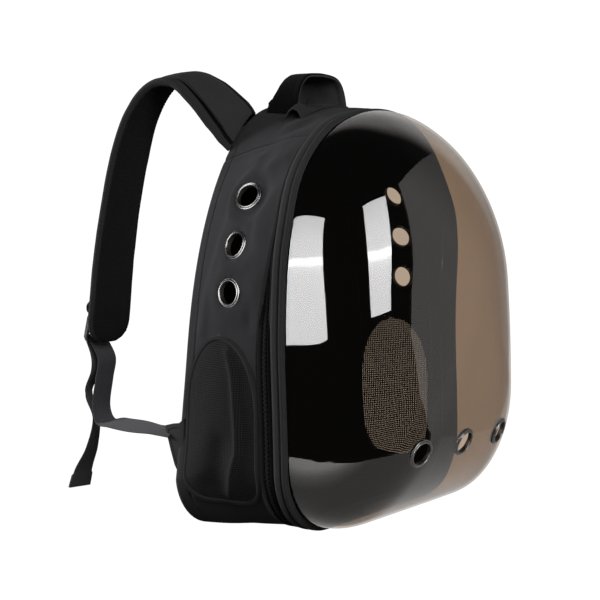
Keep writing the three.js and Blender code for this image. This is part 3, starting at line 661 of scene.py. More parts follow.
# Clear smoked plastic: what lies behind shows through its tint, under a gloss that grows where the view
# is a glancing one.
def smoked(name, tint, head_on):
    material, tree = blank_material(name)
    facing = add_node(tree, "ShaderNodeLayerWeight", {"Blend": 0.5}).outputs["Facing"]
    rise = maths(tree, "POWER", facing, GLANCING_POWER)
    gloss = maths(tree, "MULTIPLY_ADD", rise, 1 - head_on, head_on)
    inner_face = add_node(tree, "ShaderNodeNewGeometry").outputs["Backfacing"]
    kept = maths(tree, "MULTIPLY_ADD", inner_face, INNER_GLOSS - 1, 1.0)
    gloss = maths(tree, "MULTIPLY", gloss, kept)
    clouds = clouds_at(tree, object_place(tree), scale=9.0, detail=2.0)
    colour = shaded(tree, signed(tree, clouds), tint, (0.97, 1.03))
    through = add_node(tree, "ShaderNodeBsdfTransparent", {"Color": colour}).outputs[0]
    rough = maths(tree, "MULTIPLY_ADD", clouds, 0.012, 0.004)
    mirror = add_node(tree, "ShaderNodeBsdfAnisotropic", {"Color": (1, 1, 1, 1), "Roughness": rough})
    return surfaced(material, mixed_shader(tree, gloss, through, mirror.outputs[0]))


# Each with its colour, and where it has a pattern, the pattern's pitch in metres
CASE_CLOTH = woven("case_cloth", (0.034, 0.034, 0.036), 0.0012)
LINING = woven("lining_cloth", (0.008, 0.008, 0.008), 0.001, roughness=0.9, sheen=0.0)
TRIM = woven("trim_cloth", (0.009, 0.009, 0.009), 0.0009, roughness=0.8, sheen=0.05)
ZIP_TEETH = woven("zip_teeth", (0.02, 0.02, 0.02), 0.0007, sheen=0.0)
PIPING_CLOTH = woven("piping_cloth", (0.036, 0.036, 0.037), 0.001)
BAND_CLOTH = woven("band_cloth", (0.048, 0.048, 0.049), 0.0011)
THREAD = woven("thread", (0.03, 0.03, 0.03), 0.0004, bump=0.5, patches=0.05)
STRAP_FACE = ribbed("strap_cloth", (0.04, 0.04, 0.04), 0.0022)
HANDLE_UNDER = ribbed("handle_under", (0.06, 0.06, 0.061), 0.0024)
HANDLE_FACE = ribbed("handle_face", (0.006, 0.006, 0.006), 0.0024)
WEBBING = ribbed("webbing", (0.062, 0.062, 0.066), 0.0018)
AIR_MESH = pitted("air_mesh", (0.015, 0.0148, 0.016), 0.0034)
NET = netting("net", (0.02, 0.02, 0.021), 0.0021, 0.66)
PLASTIC = moulded("buckle_plastic", (0.012, 0.012, 0.012), 0.42)
STEEL = polished("dark_steel", (0.12, 0.117, 0.112), 0.28)
SMOKE = smoked("smoked_plastic", (0.656, 0.579, 0.5), 0.04)


# Arch outlines


# Half of an outline from the middle of its floor to its crown, as [x, z] rows.
def half_arch(arch, steps, fullness=2.0):
    flat = arch.half_width + arch.sag - arch.corner
    rows = [(flat * i / steps.floor, arch.bottom) for i in range(steps.floor)]
    for i in range(steps.corner):
        angle = math.pi / 2 * i / steps.corner
        x = flat + arch.corner * math.sin(angle)
        rows.append((x, arch.bottom + arch.corner * (1 - math.cos(angle))))
    for i in range(steps.side):
        rise = i / steps.side
        x = arch.half_width + arch.sag * (1 - rise) ** 2
        rows.append((x, lerp(arch.bottom + arch.corner, arch.spring, rise)))
    for i in range(steps.crown + 1):
        angle = math.pi / 2 * i / steps.crown
        across = max(math.cos(angle), 0) ** (2 / fullness)
        rise = math.sin(angle) ** (2 / fullness)
        rows.append((arch.half_width * across, arch.spring + (arch.top - arch.spring) * rise))
    return np.array(rows)


# Whole outline from the middle of the floor round by +X, without a repeated point.
def whole_arch(arch, steps, fullness=2.0):
    right = half_arch(arch, steps, fullness)
    left = right[1:-1][::-1] * (-1, 1)
    return np.vstack([right, left])


def case_arch(y):
    places = np.array([place for place, _ in CASE_SECTIONS], float)
    sizes = np.array([arch for _, arch in CASE_SECTIONS], float)
    return Arch(*(eased(places, column, y) for column in sizes.T))


# The case's outer face between two places counted in steps from the middle of the floor, as rows of points
# at each place, with a column for each y.
def case_face(first, last, ys):
    columns = []
    for y in ys:
        half = half_arch(case_arch(y), CASE_STEPS)
        column = []
        for place in range(first, last + 1):
            x, z = half[HALF_STEPS - abs(HALF_STEPS - abs(place))]
            column.append((x if 0 <= place <= HALF_STEPS else -x, y, z))
        columns.append(column)
    return np.array(columns).transpose(1, 0, 2)


def normals_of(points, pivot):
    along = np.gradient(points, axis=0)
    across = np.gradient(points, axis=1)
    normals = unit(np.cross(along, across))
    outward = np.sum(normals * (points - np.asarray(pivot, float)), axis=-1)
    return normals * (1 if outward.mean() > 0 else -1)


# Where the case's outer side lies at a height, on the +X half.
def side_x(y, z):
    arch = case_arch(y)
    low = arch.bottom + arch.corner
    if z < low:
        reach = math.sqrt(max(arch.corner**2 - (low - z) ** 2, 0))
        return arch.half_width + arch.sag - arch.corner + reach
    if z < arch.spring:
        rise = (z - low) / (arch.spring - low)
        return arch.half_width + arch.sag * (1 - rise) ** 2
    share = (z - arch.spring) / (arch.top - arch.spring)
    return arch.half_width * math.sqrt(max(1 - share**2, 0))


def case_top(x, y):
    arch = case_arch(y)
    return arch.spring + (arch.top - arch.spring) * math.sqrt(max(1 - (x / arch.half_width) ** 2, 0))


# Case cloth


# Pairs of places here are where something starts and where it is full.
SHOULDER_PULL = 4.2
SHOULDER_X = (15, 75)
SHOULDER_Z = (285, 345)
SHOULDER_FRONT = (-115, DOME_EDGE_Y)
SHOULDER_BACK = (-28, -50)
RIM_BOW = 3.9
RIM_BOW_X = (95, 135)
RIM_BOW_Z = 187
RIM_BOW_SPREAD = 75
RIM_BOW_MIDDLE = -50
RIM_BOW_FRONT = (-105, DOME_EDGE_Y)
RIM_BOW_BACK = (10, -38)
BACK_BULGE = 7.0
BACK_BULGE_X = (60, 120)
BACK_BULGE_Z = 75
BACK_BULGE_SPREAD = 55
BACK_BULGE_Y = 46


# The opening's edge bows back halfway up the sides and at its shoulders, and the back bulges out low down.
def eased_place(points):
    points = np.array(points, float)
    x, y, z = np.moveaxis(points, -1, 0)
    wide = np.abs(x)
    in_front = smooth_step(*RIM_BOW_FRONT, y)
    near_rim = np.where(y < RIM_BOW_MIDDLE, in_front, smooth_step(*RIM_BOW_BACK, y))
    bow = RIM_BOW * bell(z - RIM_BOW_Z, RIM_BOW_SPREAD) * smooth_step(*RIM_BOW_X, wide) * near_rim
    low = bell(z - BACK_BULGE_Z, BACK_BULGE_SPREAD) * smooth_step(*BACK_BULGE_X, wide)
    bulge = BACK_BULGE * low * np.clip((y - BACK_BULGE_Y) / (BACK_Y - BACK_BULGE_Y), 0, 1.2)
    in_front = smooth_step(*SHOULDER_FRONT, y)
    by_rim = np.where(y < DOME_EDGE_Y, in_front, smooth_step(*SHOULDER_BACK, y))
    pull = SHOULDER_PULL * smooth_step(*SHOULDER_Z, z) * smooth_step(*SHOULDER_X, wide) * by_rim
    points[..., 1] = y + bow + bulge + pull
    return points


# Cloth that isn't drawn quite tight: soft swells, and creases where the top is pulled down to the front.
# A crease is its line of [y, z] points, its width and its height.
SIDE_CREASES = (
    (((-34, 352), (-18, 338), (-10, 326)), 5.0, 1.6),
    (((-30, 330), (-20, 310), (-19, 285)), 5.0, -1.6),
    (((2, 345), (14, 310), (19, 290), (24, 265), (37, 218), (40, 190)), 7.0, 1.7),
    (((-24, 268), (-22, 235), (-26, 200)), 7.0, -1.2),
    (((-12, 362), (-2, 352), (12, 348)), 4.0, 1.4),
    (((-26, 380), (-16, 370), (-6, 366)), 5.0, -1.8),
    (((-30, 392), (-22, 384), (-4, 378)), 4.0, 1.5),
)


# Ripples here and below are a height, a wave length and a seed.
CLOTH_SWELLS = ((1.1, 55, 1), (0.6, 24, 2))


def cloth_swell(point):
    swell = sum(ripple(point, *waves) for waves in CLOTH_SWELLS)
    for line, width, height in SIDE_CREASES:
        swell += height * bell(line_distance(point[1:], line), width)
    return swell


CASE_PIVOT = (0, 0, 190)
SEAM_REACH = 3.2
SEAM_DEPTH = 0.6
BACK_SEAM_Y = 49
BACK_SEAM_DEPTH = 0.7
BACK_SEAM_SPREAD = 0.8
SEAM_ROWS = np.array((-1.6, -0.9, -0.4, 0, 0.4, 0.9, 1.6)) + BACK_SEAM_Y
CASE_YS = np.sort(np.concatenate([np.linspace(CASE_FRONT_Y, BACK_Y, 49), SEAM_ROWS]))

# Where the cloth is free to swell, by its distance from a seam and by y at the front and the back
LOOSE_REACH = (2, 18)
LOOSE_FRONT = (CASE_FRONT_Y, -26)
LOOSE_BACK = (BACK_Y, 50)

# Up the sides and over the top the cloth runs on in a flap that covers the zip.
FLAP_LOW = 170
FLAP_HIGH = 295
FLAP_REACH = 15.5
FLAP_REACH_Y = (-22, CASE_FRONT_Y)
FLAP_LIFT = 2.8
FLAP_LIFT_Y = (8, -24)
FLAP_ROLL = 0.9
FLAP_ROLL_Y = (-29, CASE_FRONT_Y)
FLAP_SINK = 1.2
CROWN_X = (80, 15)


def case_panel(first, last, side=1, swell=True):
    points = case_face(first, last, CASE_YS)
    normals = normals_of(points, CASE_PIVOT)
    x, y, z = np.moveaxis(points, -1, 0)
    reach = running_length(points)
    from_edge = np.minimum(reach, reach[-1:] - reach)
    lift = -SEAM_DEPTH * (1 - smooth_step(0, SEAM_REACH, from_edge))
    if swell:
        loose = smooth_step(*LOOSE_REACH, from_edge) * smooth_step(*LOOSE_FRONT, y)
        loose *= smooth_step(*LOOSE_BACK, y)
        for index in np.ndindex(points.shape[:2]):
            if loose[index] > 0:
                lift[index] += loose[index] * cloth_swell(points[index])
    high = smooth_step(FLAP_LOW, FLAP_HIGH, z)
    crown = smooth_step(*CROWN_X, np.abs(x)) * high
    rise = FLAP_LIFT * smooth_step(*FLAP_LIFT_Y, y) - FLAP_ROLL * smooth_step(*FLAP_ROLL_Y, y)
    lift = lift + rise * high * (1 - crown)
    lift = lift - BACK_SEAM_DEPTH * bell(y - BACK_SEAM_Y, BACK_SEAM_SPREAD)
    moved = points + normals * lift[..., None]
    moved[..., 1] -= FLAP_REACH * high * smooth_step(*FLAP_REACH_Y, y)
    moved = eased_place(moved)
    moved[..., 0] *= side
    shape = Shape()
    shape.add_grid(moved)
    return shape


# Sewing: a row of short raised stitches along a line that lies on a face.

STITCH_START = 0.4
STITCH_LIFT = 0.1
STITCH_FLATNESS = 1.3
STITCH_RINGS = ((0, 0.35), (0.2, 1), (0.8, 1), (1, 0.35))
STITCH_SIDES = 6


def stitches(name, lines, normals, pitch, length=2.5, radius=0.32):
    tubes = []
    for line, normal in zip(np.asarray(lines, float), np.asarray(normals, float)):
        reach = running_length(line)
        for k in range(int(reach[-1] / pitch)):
            start = k * pitch + STITCH_START
            ends = [row_at(at, reach, line) for at in (start, start + length)]
            out = unit(row_at(k * pitch, reach, normal))
            across = unit(np.cross(unit(ends[1] - ends[0]), out)) * STITCH_FLATNESS
            rings = []
            for share, size in STITCH_RINGS:
                middle = lerp(*ends, share) + out * STITCH_LIFT
                angles = turn_angles(STITCH_SIDES)
                rays = [across * math.cos(angle) + out * math.sin(angle) for angle in angles]
                rings.append([middle + size * radius * ray for ray in rays])
            tubes.append(rings)
    make(name, tube_shape(*tubes), [THREAD])


# Eyelets


# Place and way out of a wall round a point, from four lines in.
def seat_on(tree, start, inward, reach=9.0):
    upward = np.array((0, 0, 1.0))
    sideways = unit(np.cross(upward, inward))
    hits = []
    for offset in (upward, -upward, sideways, -sideways):
        hits.append(np.array(tree.ray_cast(Vector(start + offset * reach), Vector(inward))[0]))
    out = unit(np.cross(hits[0] - hits[1], hits[2] - hits[3]))
    if np.dot(out, inward) > 0:
        out = -out
    return np.mean(hits, axis=0), out


LIP_RADIUS = 0.85
EYELET_SIDES = 56

# Points of the profile that lie in the barrel, whose faces take the dark plastic as painted shade inside the
# hole
SHADED_BARREL_POINTS = 3


# Barrel, rolled lip, flange and back lip, as radius and height over the wall's outer face.
def eyelet_profile(wall):
    profile = [(VENT_BORE + 0.4, -wall - 1.4), (VENT_BORE, -wall - 0.8), (VENT_BORE, 0.1)]
    for angle in np.radians(np.arange(180, -1, -20)):
        radius = VENT_BORE + 0.8 + LIP_RADIUS * math.cos(angle)
        profile.append((radius, 0.6 + LIP_RADIUS * math.sin(angle)))
    profile += [(VENT_BORE + 1.75, 0.3), (VENT_BORE + 2.1, 0.55), (VENT_FLANGE - 0.7, 0.6)]
    profile += [(VENT_FLANGE - 0.15, 0.3), (VENT_FLANGE, 0), (VENT_FLANGE - 0.4, -0.25)]
    profile += [(VENT_BORE + 1.0, -0.35), (VENT_BORE + 1.0, -wall + 0.3)]
    profile += [(VENT_FLANGE - 0.6, -wall - 0.1), (VENT_FLANGE, -wall - 0.4)]
    return profile + [(VENT_FLANGE - 0.6, -wall - 0.9)]


def eyelet(name, middle, out, wall, replaced):
    first = unit(np.cross(out, (0, 0, 1.0)))
    second = np.cross(out, first)
    profile = eyelet_profile(wall)
    rings = []
    for angle in turn_angles(EYELET_SIDES):
        ray = first * math.cos(angle) + second * math.sin(angle)
        rings.append([middle + ray * r + out * h for r, h in profile])
    # The barrel takes the dark plastic, not steel: painted shade inside the hole.
    shape = ring_shape(rings, lambda row, column: 1 if column < SHADED_BARREL_POINTS else 0)
    make(name, shape, [STEEL, PLASTIC], [replaced])


# Draws the cloth round an eyelet onto the eyelet's own plane.
def seat_cloth(shape, middle, normal, out, flat=16.0, reach=33.0):
    for i, point in enumerate(shape.points):
        offset = np.array(point) - middle
        if np.dot(offset, offset) < reach**2:
            height = np.dot(offset, normal)
            along = offset - normal * height
            wanted = -np.dot(along, out) / np.dot(normal, out)
            share = smooth_step(reach, flat, np.linalg.norm(along))
            shape.points[i] = tuple(np.array(point) + normal * (wanted - height) * share)


# Tests for a round hole about an axis, through one wall only.
def round_hole(middle, out, radius=VENT_CUT, depth=15):
    def across(point):
        offset = point - middle
        return offset - out * np.dot(offset, out)

    def inside(point):
        return abs(np.dot(point - middle, out)) < depth and np.linalg.norm(across(point)) < radius

    def onto(point):
        offset = across(point)
        return point + unit(offset) * (radius - np.linalg.norm(offset))

    return inside, onto


# Mesh windows


WINDOW_MIDDLE = np.array((WINDOW_MIDDLE_Y, (WINDOW_ARCH.top + WINDOW_ARCH.bottom) / 2))
WINDOW_HALF = np.array((WINDOW_ARCH.half_width, (WINDOW_ARCH.top - WINDOW_ARCH.bottom) / 2))
WINDOW_SEARCH = WINDOW_HALF + 5


# Outline of the side window in its own plane, as [y, z] rows. The margin is how far outside the opening.
def window_outline(margin):
    loop = whole_arch(WINDOW_ARCH, WINDOW_STEPS) - (0, WINDOW_MIDDLE[1])
    return WINDOW_MIDDLE + loop * (1 + margin / WINDOW_HALF)


def in_outline(point, outline):
    y, z = point
    found = False
    for (y0, z0), (y1, z1) in zip(outline, np.roll(outline, -1, axis=0)):
        if (z0 > z) != (z1 > z) and y < (y1 - y0) * (z - z0) / (z1 - z0) + y0:
            found = not found
    return found


def window_hole(side):
    outline = window_outline(0.6)

    def inside(point):
        if point[0] * side < 0 or np.any(np.abs(point[1:] - WINDOW_MIDDLE) > WINDOW_SEARCH):
            return False
        return in_outline(point[1:], outline)

    def onto(point):
        nearest = outline[np.argmin(np.linalg.norm(outline - point[1:], axis=1))]
        return np.array((side * side_x(*nearest), *nearest))

    return inside, onto


# The net swells out of its window, with a fold that runs down it, a hollow beside the fold's foot, and
# small pleats along its top.
NET_FOLD = ((2, 176), (-6, 155), (-9, 130), (-11.5, 104), (-11, 82), (-6, 70), (3, 47), (7, 40))
NET_FOLD_HEIGHT = 3.4
NET_FOLD_SPREAD = 4.0
NET_HOLLOW = ((8, 88), (12, 70), (22, 48))
NET_HOLLOW_DEPTH = 3.0
NET_HOLLOW_SPREAD = 11
NET_PLEAT_Z = 176
NET_PLEAT_SPREAD = 10
NET_PLEAT_HEIGHT = 0.5
NET_PLEAT_TURN = 0.9
NET_RIPPLE = (0.5, 17, 5)
NET_SEAT = 0.6
NET_SWELL = 4.0
NET_RINGS = 34


def net_height(y, z, share):
    free = 1 - share**2
    fold = NET_FOLD_HEIGHT * bell(line_distance((y, z), NET_FOLD), NET_FOLD_SPREAD)
    hollow = NET_HOLLOW_DEPTH * bell(line_distance((y, z), NET_HOLLOW), NET_HOLLOW_SPREAD)
    pleats = NET_PLEAT_HEIGHT * math.sin(y * NET_PLEAT_TURN) * bell(z - NET_PLEAT_Z, NET_PLEAT_SPREAD)
    height = NET_SWELL * free + min(1, 3 * free) * (fold - hollow)
    return NET_SEAT + height + min(1, 4 * free) * pleats + free * ripple((0, y, z), *NET_RIPPLE)


# Place over the case's side at a height above it, and the way out there.
def side_place(y, z, side, height):
    step = 0.5
    lean_y = (side_x(y + step, z) - side_x(y - step, z)) / (2 * step)
    lean_z = (side_x(y, z + step) - side_x(y, z - step)) / (2 * step)
    out = unit((1, -lean_y, -lean_z))
    place = np.array((side_x(y, z), y, z)) + out * height
    return place * (side, 1, 1), out * (side, 1, 1)


def mesh_window(label, side):
    outline = window_outline(1.8)
    rings = []
    for share in np.linspace(1, 0.02, NET_RINGS):
        rows = lerp(WINDOW_MIDDLE, outline, share)
        rings.append([side_place(y, z, side, net_height(y, z, share))[0] for y, z in rows])
    shape = Shape()
    shape.add_dish(rings)
    shape.lay_flat(1)
    piece = make(f"net_{label}", shape, [NET], [f"mesh_window_{label}"], pivot=CASE_PIVOT)
    cloth_area(piece, 1)


# Share of the way across the binding, and height over the cloth
BINDING_PROFILE = (
    (0, 0.3), (0.02, 0.8), (0.12, 1.3), (0.35, 1.7), (0.6, 1.7), (0.85, 1.3), (0.97, 0.8), (1, 0.2),
)
BINDING_INNER = 0.4
BINDING_OUTER = 5.0
BINDING_PUCKER = (0.18, 6, 3)
BINDING_SEWN = 3.9
BINDING_SEWN_HEIGHT = 1.6


def window_binding(label, side):
    rings = []
    for near, far in zip(window_outline(BINDING_INNER), window_outline(BINDING_OUTER)):
        ring = []
        for share, height in BINDING_PROFILE:
            y, z = lerp(near, far, share)
            pucker = ripple((0, y, z), *BINDING_PUCKER)
            ring.append(side_place(y, z, side, height + pucker)[0])
        rings.append(ring)
    make(f"binding_{label}", ring_shape(rings), [CASE_CLOTH], [f"window_binding_{label}"])
    sewn = closed(window_outline(BINDING_SEWN))
    line, normal = zip(*(side_place(y, z, side, BINDING_SEWN_HEIGHT) for y, z in sewn))
    stitches(f"binding_sewing_{label}", [line], [normal], pitch=3.2)


# Case panels


def panel_piece(name, shape, node):
    piece = make(name, shape, [CASE_CLOTH, LINING], [node], pivot=CASE_PIVOT)
    thicken(piece, CASE_WALL)
    return piece


SIDE_PROBE_X = 300.0
DOME_PROBE_Y = -400.0


def side_panel(label, side):
    shape = case_panel(CASE_STEPS.floor, HALF_STEPS - TOP_STEPS, side)
    tree = shape.tree()
    seats = []
    for (y, z), turn in zip(SIDE_VENTS, SIDE_VENT_TURNS):
        middle, normal = seat_on(tree, np.array((side * SIDE_PROBE_X, y, z)), np.array((-side, 0.0, 0.0)))
        seats.append((middle, normal, unit(normal - (0, turn, 0))))
    for seat in seats:
        seat_cloth(shape, *seat)
    shape.cut(*window_hole(side))
    for middle, _, out in seats:
        shape.cut(*round_hole(middle, out))
    piece = panel_piece(f"side_{label}", shape, f"side_panel_{label}")
    cloth_area(piece)
    for i, (middle, _, out) in enumerate(seats, 1):
        eyelet(f"eyelet_{label}_{i}", middle, out, CASE_WALL, f"vent_eyelet_{label}_{i}")
    mesh_window(label, side)
    window_binding(label, side)


def top_panel():
    piece = panel_piece("top", case_panel(HALF_STEPS - TOP_STEPS, HALF_STEPS + TOP_STEPS), "top_panel")
    cloth_area(piece)


def base_panel():
    shape = case_panel(-CASE_STEPS.floor, CASE_STEPS.floor, swell=False)
    piece = panel_piece("base", shape, "base_panel")
    cloth_area(piece)


# The back panel: a padded board with a bound edge and three shallow sewn channels. Its edge is how far in
# from the case's outline and how far below the back.
BACK_EDGE = (
    (3.2, 9.5), (3.1, 3), (3.6, 1.2), (5, 0.4), (8, 0.2), (10.5, 0.6), (11.5, 1.6), (12.5, 1.6), (14, 0.7),
)
BACK_BOUND_ROWS = 6
BACK_RINGS = 34
BACK_MIDDLE = np.array((0, 190.0))
BACK_SUNK = 0.2
BACK_SWELL = (0.5, 40, 8)
BACK_HOLLOW = 0.3
BACK_CHANNELS = (120, 210, 300)
CHANNEL_DEPTH = 1.6
CHANNEL_SPREAD = 3
LINER_INSET = 4.2
LINER_EDGE_DEPTH = 9.5
LINER_DEPTH = 9.9
LINER_SHARES = (0.9, 0.6, 0.3, 0.03)


def upright(rows, y):
    return np.column_stack([rows[:, 0], np.broadcast_to(y, len(rows)), rows[:, 1]])


def back_depth(x, z, share):
    channel = min(abs(z - place) for place in BACK_CHANNELS)
    swell = ripple((x, 0, z), *BACK_SWELL) - BACK_HOLLOW
    face = BACK_Y - BACK_SUNK + swell * (1 - share**4) * 0.6
    return face - CHANNEL_DEPTH * bell(channel, CHANNEL_SPREAD)


def back_panel():
    edge = whole_arch(case_arch(BACK_Y), CASE_STEPS)[::2]
    along = np.roll(edge, -1, axis=0) - np.roll(edge, 1, axis=0)
    outward = unit(np.column_stack([along[:, 1], -along[:, 0]]))
    rings = [eased_place(upright(edge - outward * inset, BACK_Y - depth)) for inset, depth in BACK_EDGE]
    start = edge - outward * BACK_EDGE[-1][0]
    for share in np.linspace(0.95, 0.03, BACK_RINGS):
        ring = lerp(BACK_MIDDLE, start, share)
        rings.append(eased_place(upright(ring, [back_depth(x, z, share) for x, z in ring])))
    shape = Shape()
    shape.add_dish(rings, lambda row, column: 0 if row < BACK_BOUND_ROWS else 1, 1)
    shape.lay_flat(0)
    inner = edge - outward * LINER_INSET
    liner = [upright(inner, BACK_Y - LINER_EDGE_DEPTH)]
    for share in LINER_SHARES:
        liner.append(upright(lerp(BACK_MIDDLE, inner, share), BACK_Y - LINER_DEPTH))
    shape.add_dish(liner, lambda row, column: 2, 2)
    piece = make("back", shape, [CASE_CLOTH, AIR_MESH, LINING], ["back_panel"])


# Rim: zip, cloth band and piping round between the dome's edge and the rim


# Share of the rim's height that it loses over the crown, where the dome hides it, and at its foot
CROWN_DROP = 0.65
CROWN_Z = (330, 380)
FOOT_DROP = 0.4
FOOT_Z = (26, 8)

# How far below the flap the rim starts to sink under it
COVER_BELOW = 20

# The rim's cloth gives in waves of this length and seed, drawn out from back to front.
RIM_WAVES = (26, 4)
RIM_GRAIN = 0.3


# Rings round the rim through a profile of places, each a share of the rim's height and a y.
def rim_points(profile, wobble=0.0, covered=0.0):
    inner = whole_arch(DOME_ARCH, RIM_STEPS, CROWN_FULLNESS)
    outer = whole_arch(RIM_ARCH, RIM_STEPS, CROWN_FULLNESS)
    rings = []
    for near, far in zip(inner, outer):
        crown = smooth_step(*CROWN_X, abs(near[0])) * smooth_step(*CROWN_Z, near[1])
        foot = smooth_step(*FOOT_Z, near[1])
        cover = covered * smooth_step(FLAP_LOW - COVER_BELOW, FLAP_HIGH - COVER_BELOW, near[1])
        ring = []
        for share, y in profile:
            x, z = lerp(near, far, share * (1 - CROWN_DROP * crown - FOOT_DROP * foot) - cover)
            give = ripple((x, y * RIM_GRAIN, z), wobble, *RIM_WAVES)
            ring.append((x + (far[0] - near[0]) * give, y, z + (far[1] - near[1]) * give))
        rings.append(ring)
    return eased_place(rings)


# The band's cloth runs on flat under the piping, and back under the zip's edge.
BAND_HEM = 0.12
BAND_EDGE = 0.15
BAND_BACK = -48.4
BAND_FRONT = -66.2
BAND_POINTS = 13


# Profile of a rounded strip on the hem, from its back over its crest to its front.
def rounded_band(crest, back, front, sharpness):
    middle = (back + front) / 2
    half = abs(back - front) / 2
    profile = [(BAND_HEM, back)]
    for angle in np.linspace(0, math.pi, BAND_POINTS):
        rise = math.sin(angle) ** sharpness
        along = math.copysign(abs(math.cos(angle)) ** 0.7, math.cos(angle))
        profile.append((lerp(BAND_EDGE, crest, rise), middle + half * along))
    profile.append((BAND_HEM, front))
    return profile


ZIP_BACK = CASE_FRONT_Y - 0.3
ZIP_FRONT = CASE_FRONT_Y - 13.7
COIL_Y = -44.6
COIL_SHARE = 0.62
COIL_HALF = 2.0
COIL_HEIGHT = 1.05
COIL_SIDES = 8
TOOTH_PITCH = 2.0
TOOTH_SIZES = (0.72, 1.0, 1.0, 0.72)
TOOTH_LEAN = 0.5


def zip_tape():
    profile = [(0.06, ZIP_FRONT), (0.06, ZIP_BACK), (0.5, ZIP_BACK), (0.78, ZIP_BACK - 0.8)]
    profile += [(0.86, ZIP_BACK - 2.2), (0.84, COIL_Y + 3.6), (0.6, COIL_Y + 3.0), (0.38, COIL_Y + 2.6)]
    profile += [(0.38, COIL_Y - 2.6), (0.55, COIL_Y - 3.0), (0.62, COIL_Y - 4.0)]
    profile += [(0.6, ZIP_FRONT + 0.8), (0.5, ZIP_FRONT)]
    rings = rim_points(profile, wobble=0.03, covered=FLAP_SINK)
    make("zip_tapes", ring_shape(rings), [TRIM], ["zip_tape"])


# The teeth lean to and fro along the coil, each over as many rings as it has sizes.
def zip_teeth():
    line = closed(rim_points([(COIL_SHARE, COIL_Y)], covered=FLAP_SINK)[:, 0])
    outward = closed(unit(rim_points([(1.0, COIL_Y)])[:, 0] - rim_points([(0.0, COIL_Y)])[:, 0]))
    reach = running_length(line)
    per_tooth = len(TOOTH_SIZES)
    count = int(reach[-1] / TOOTH_PITCH) * per_tooth
    rings = []
    for k in range(count):
        at = k * reach[-1] / count
        middle = row_at(at, reach, line)
        out = unit(row_at(at, reach, outward))
        size = TOOTH_SIZES[k % per_tooth]
        lean = TOOTH_LEAN if (k // per_tooth) % 2 else -TOOTH_LEAN
        ring = []
        for angle in turn_angles(COIL_SIDES):
            across = COIL_HALF * size * math.cos(angle) + lean * size
            ring.append(middle + np.array((0, across, 0)) + out * COIL_HEIGHT * size * math.sin(angle))
        rings.append(ring)
    make("zip_teeth", ring_shape(rings), [ZIP_TEETH])


def rim_band():
    profile = [(0.0, BAND_BACK), (BAND_HEM, BAND_BACK)]
    profile += rounded_band(crest=0.92, back=-52.6, front=-58.0, sharpness=0.55)
    profile += [(BAND_HEM, BAND_FRONT), (0.0, BAND_FRONT)]
    rings = rim_points(profile, wobble=0.06)
    make("band", ring_shape(rings), [BAND_CLOTH], ["rim_band"])


def piping():
    profile = rounded_band(crest=0.84, back=-60.9, front=-65.3, sharpness=0.7)
    rings = rim_points(profile, wobble=0.04)
    make("piping_cord", ring_shape(rings), [PIPING_CLOTH], ["piping"])


# The slider sits on the coil low on the right, with its pull hanging down the tape. Each part is its depths
# and its outline, as y from the coil and z.
SLIDER_SHARE = 0.85
SLIDER_PARTS = (
    ((0, 2.2), ((-4, 70), (-4.3, 78), (-3, 81), (3, 81), (4.3, 78), (4, 70), (2, 68), (-2, 68))),
    ((0.6, 2.0), ((-2.2, 71), (2.2, 71), (3, 60), (3, 50), (2, 46.4), (-2, 46.4), (-3, 50), (-3, 60))),
)


def zip_slider():
    x = lerp(DOME_ARCH.half_width, RIM_ARCH.half_width, SLIDER_SHARE) + GAP
    tubes = []
    for depths, outline in SLIDER_PARTS:
        tubes.append([[(x + depth, COIL_Y + y, z) for y, z in outline] for depth in depths])
    piece = make("slider", tube_shape(*tubes), [STEEL], ["zip_slider"])
    soften(piece, width=0.5)


# Dome


DOME_COLUMNS = 288
DOME_RINGS = 74
DOME_SOFT = 0.25
OUTLINE_BLUR = 15.0
OUTLINE_FINE = 4


# The dome's edge as evenly spaced [x, z] rows, with the bends of its outline eased into each other.
def dome_edge():
    loop = closed(whole_arch(DOME_ARCH, DOME_STEPS, CROWN_FULLNESS))
    reach = running_length(loop)
    fine = np.linspace(0, reach[-1], DOME_COLUMNS * OUTLINE_FINE, endpoint=False)
    even = row_at(fine, reach, loop).T
    count = int(OUTLINE_BLUR / (fine[1] - fine[0]))
    weights = np.hanning(2 * count + 3)[1:-1]
    weights /= weights.sum()
    rows = sum(weight * np.roll(even, shift - count, axis=0) for shift, weight in enumerate(weights))
    return rows[::OUTLINE_FINE]


def dome_rows():
    edge = dome_edge() - (0, DOME_CENTRE_Z)
    height = 0.5 + 0.5 * edge[:, 1] / np.hypot(edge[:, 0], edge[:, 1])
    power = lerp(DOME_POWER_BELOW, DOME_POWER_CROWN, height)
    lowest = DOME_SOFT**power
    highest = (1 + DOME_SOFT**2) ** (power / 2)
    rows = []
    for angle in np.linspace(math.pi / 2, 0.02, DOME_RINGS):
        share = math.sin(angle) ** (2 / power)
        rise = ((share**2 + DOME_SOFT**2) ** (power / 2) - lowest) / (highest - lowest)
        bulge = np.maximum(1 - rise, 0) ** (1 / power)
        y = DOME_EDGE_Y - DOME_DEPTH * bulge
        rows.append(np.column_stack([edge[:, 0] * share, y, DOME_CENTRE_Z + edge[:, 1] * share]))
    return eased_place(rows)


# A face of the dome with the skirt that runs back from its edge.
def skirted(face):
    skirt = face[0] + (0, DOME_SKIRT, 0)
    return np.concatenate([skirt[None], lerp(skirt, face[0], 0.5)[None], face])


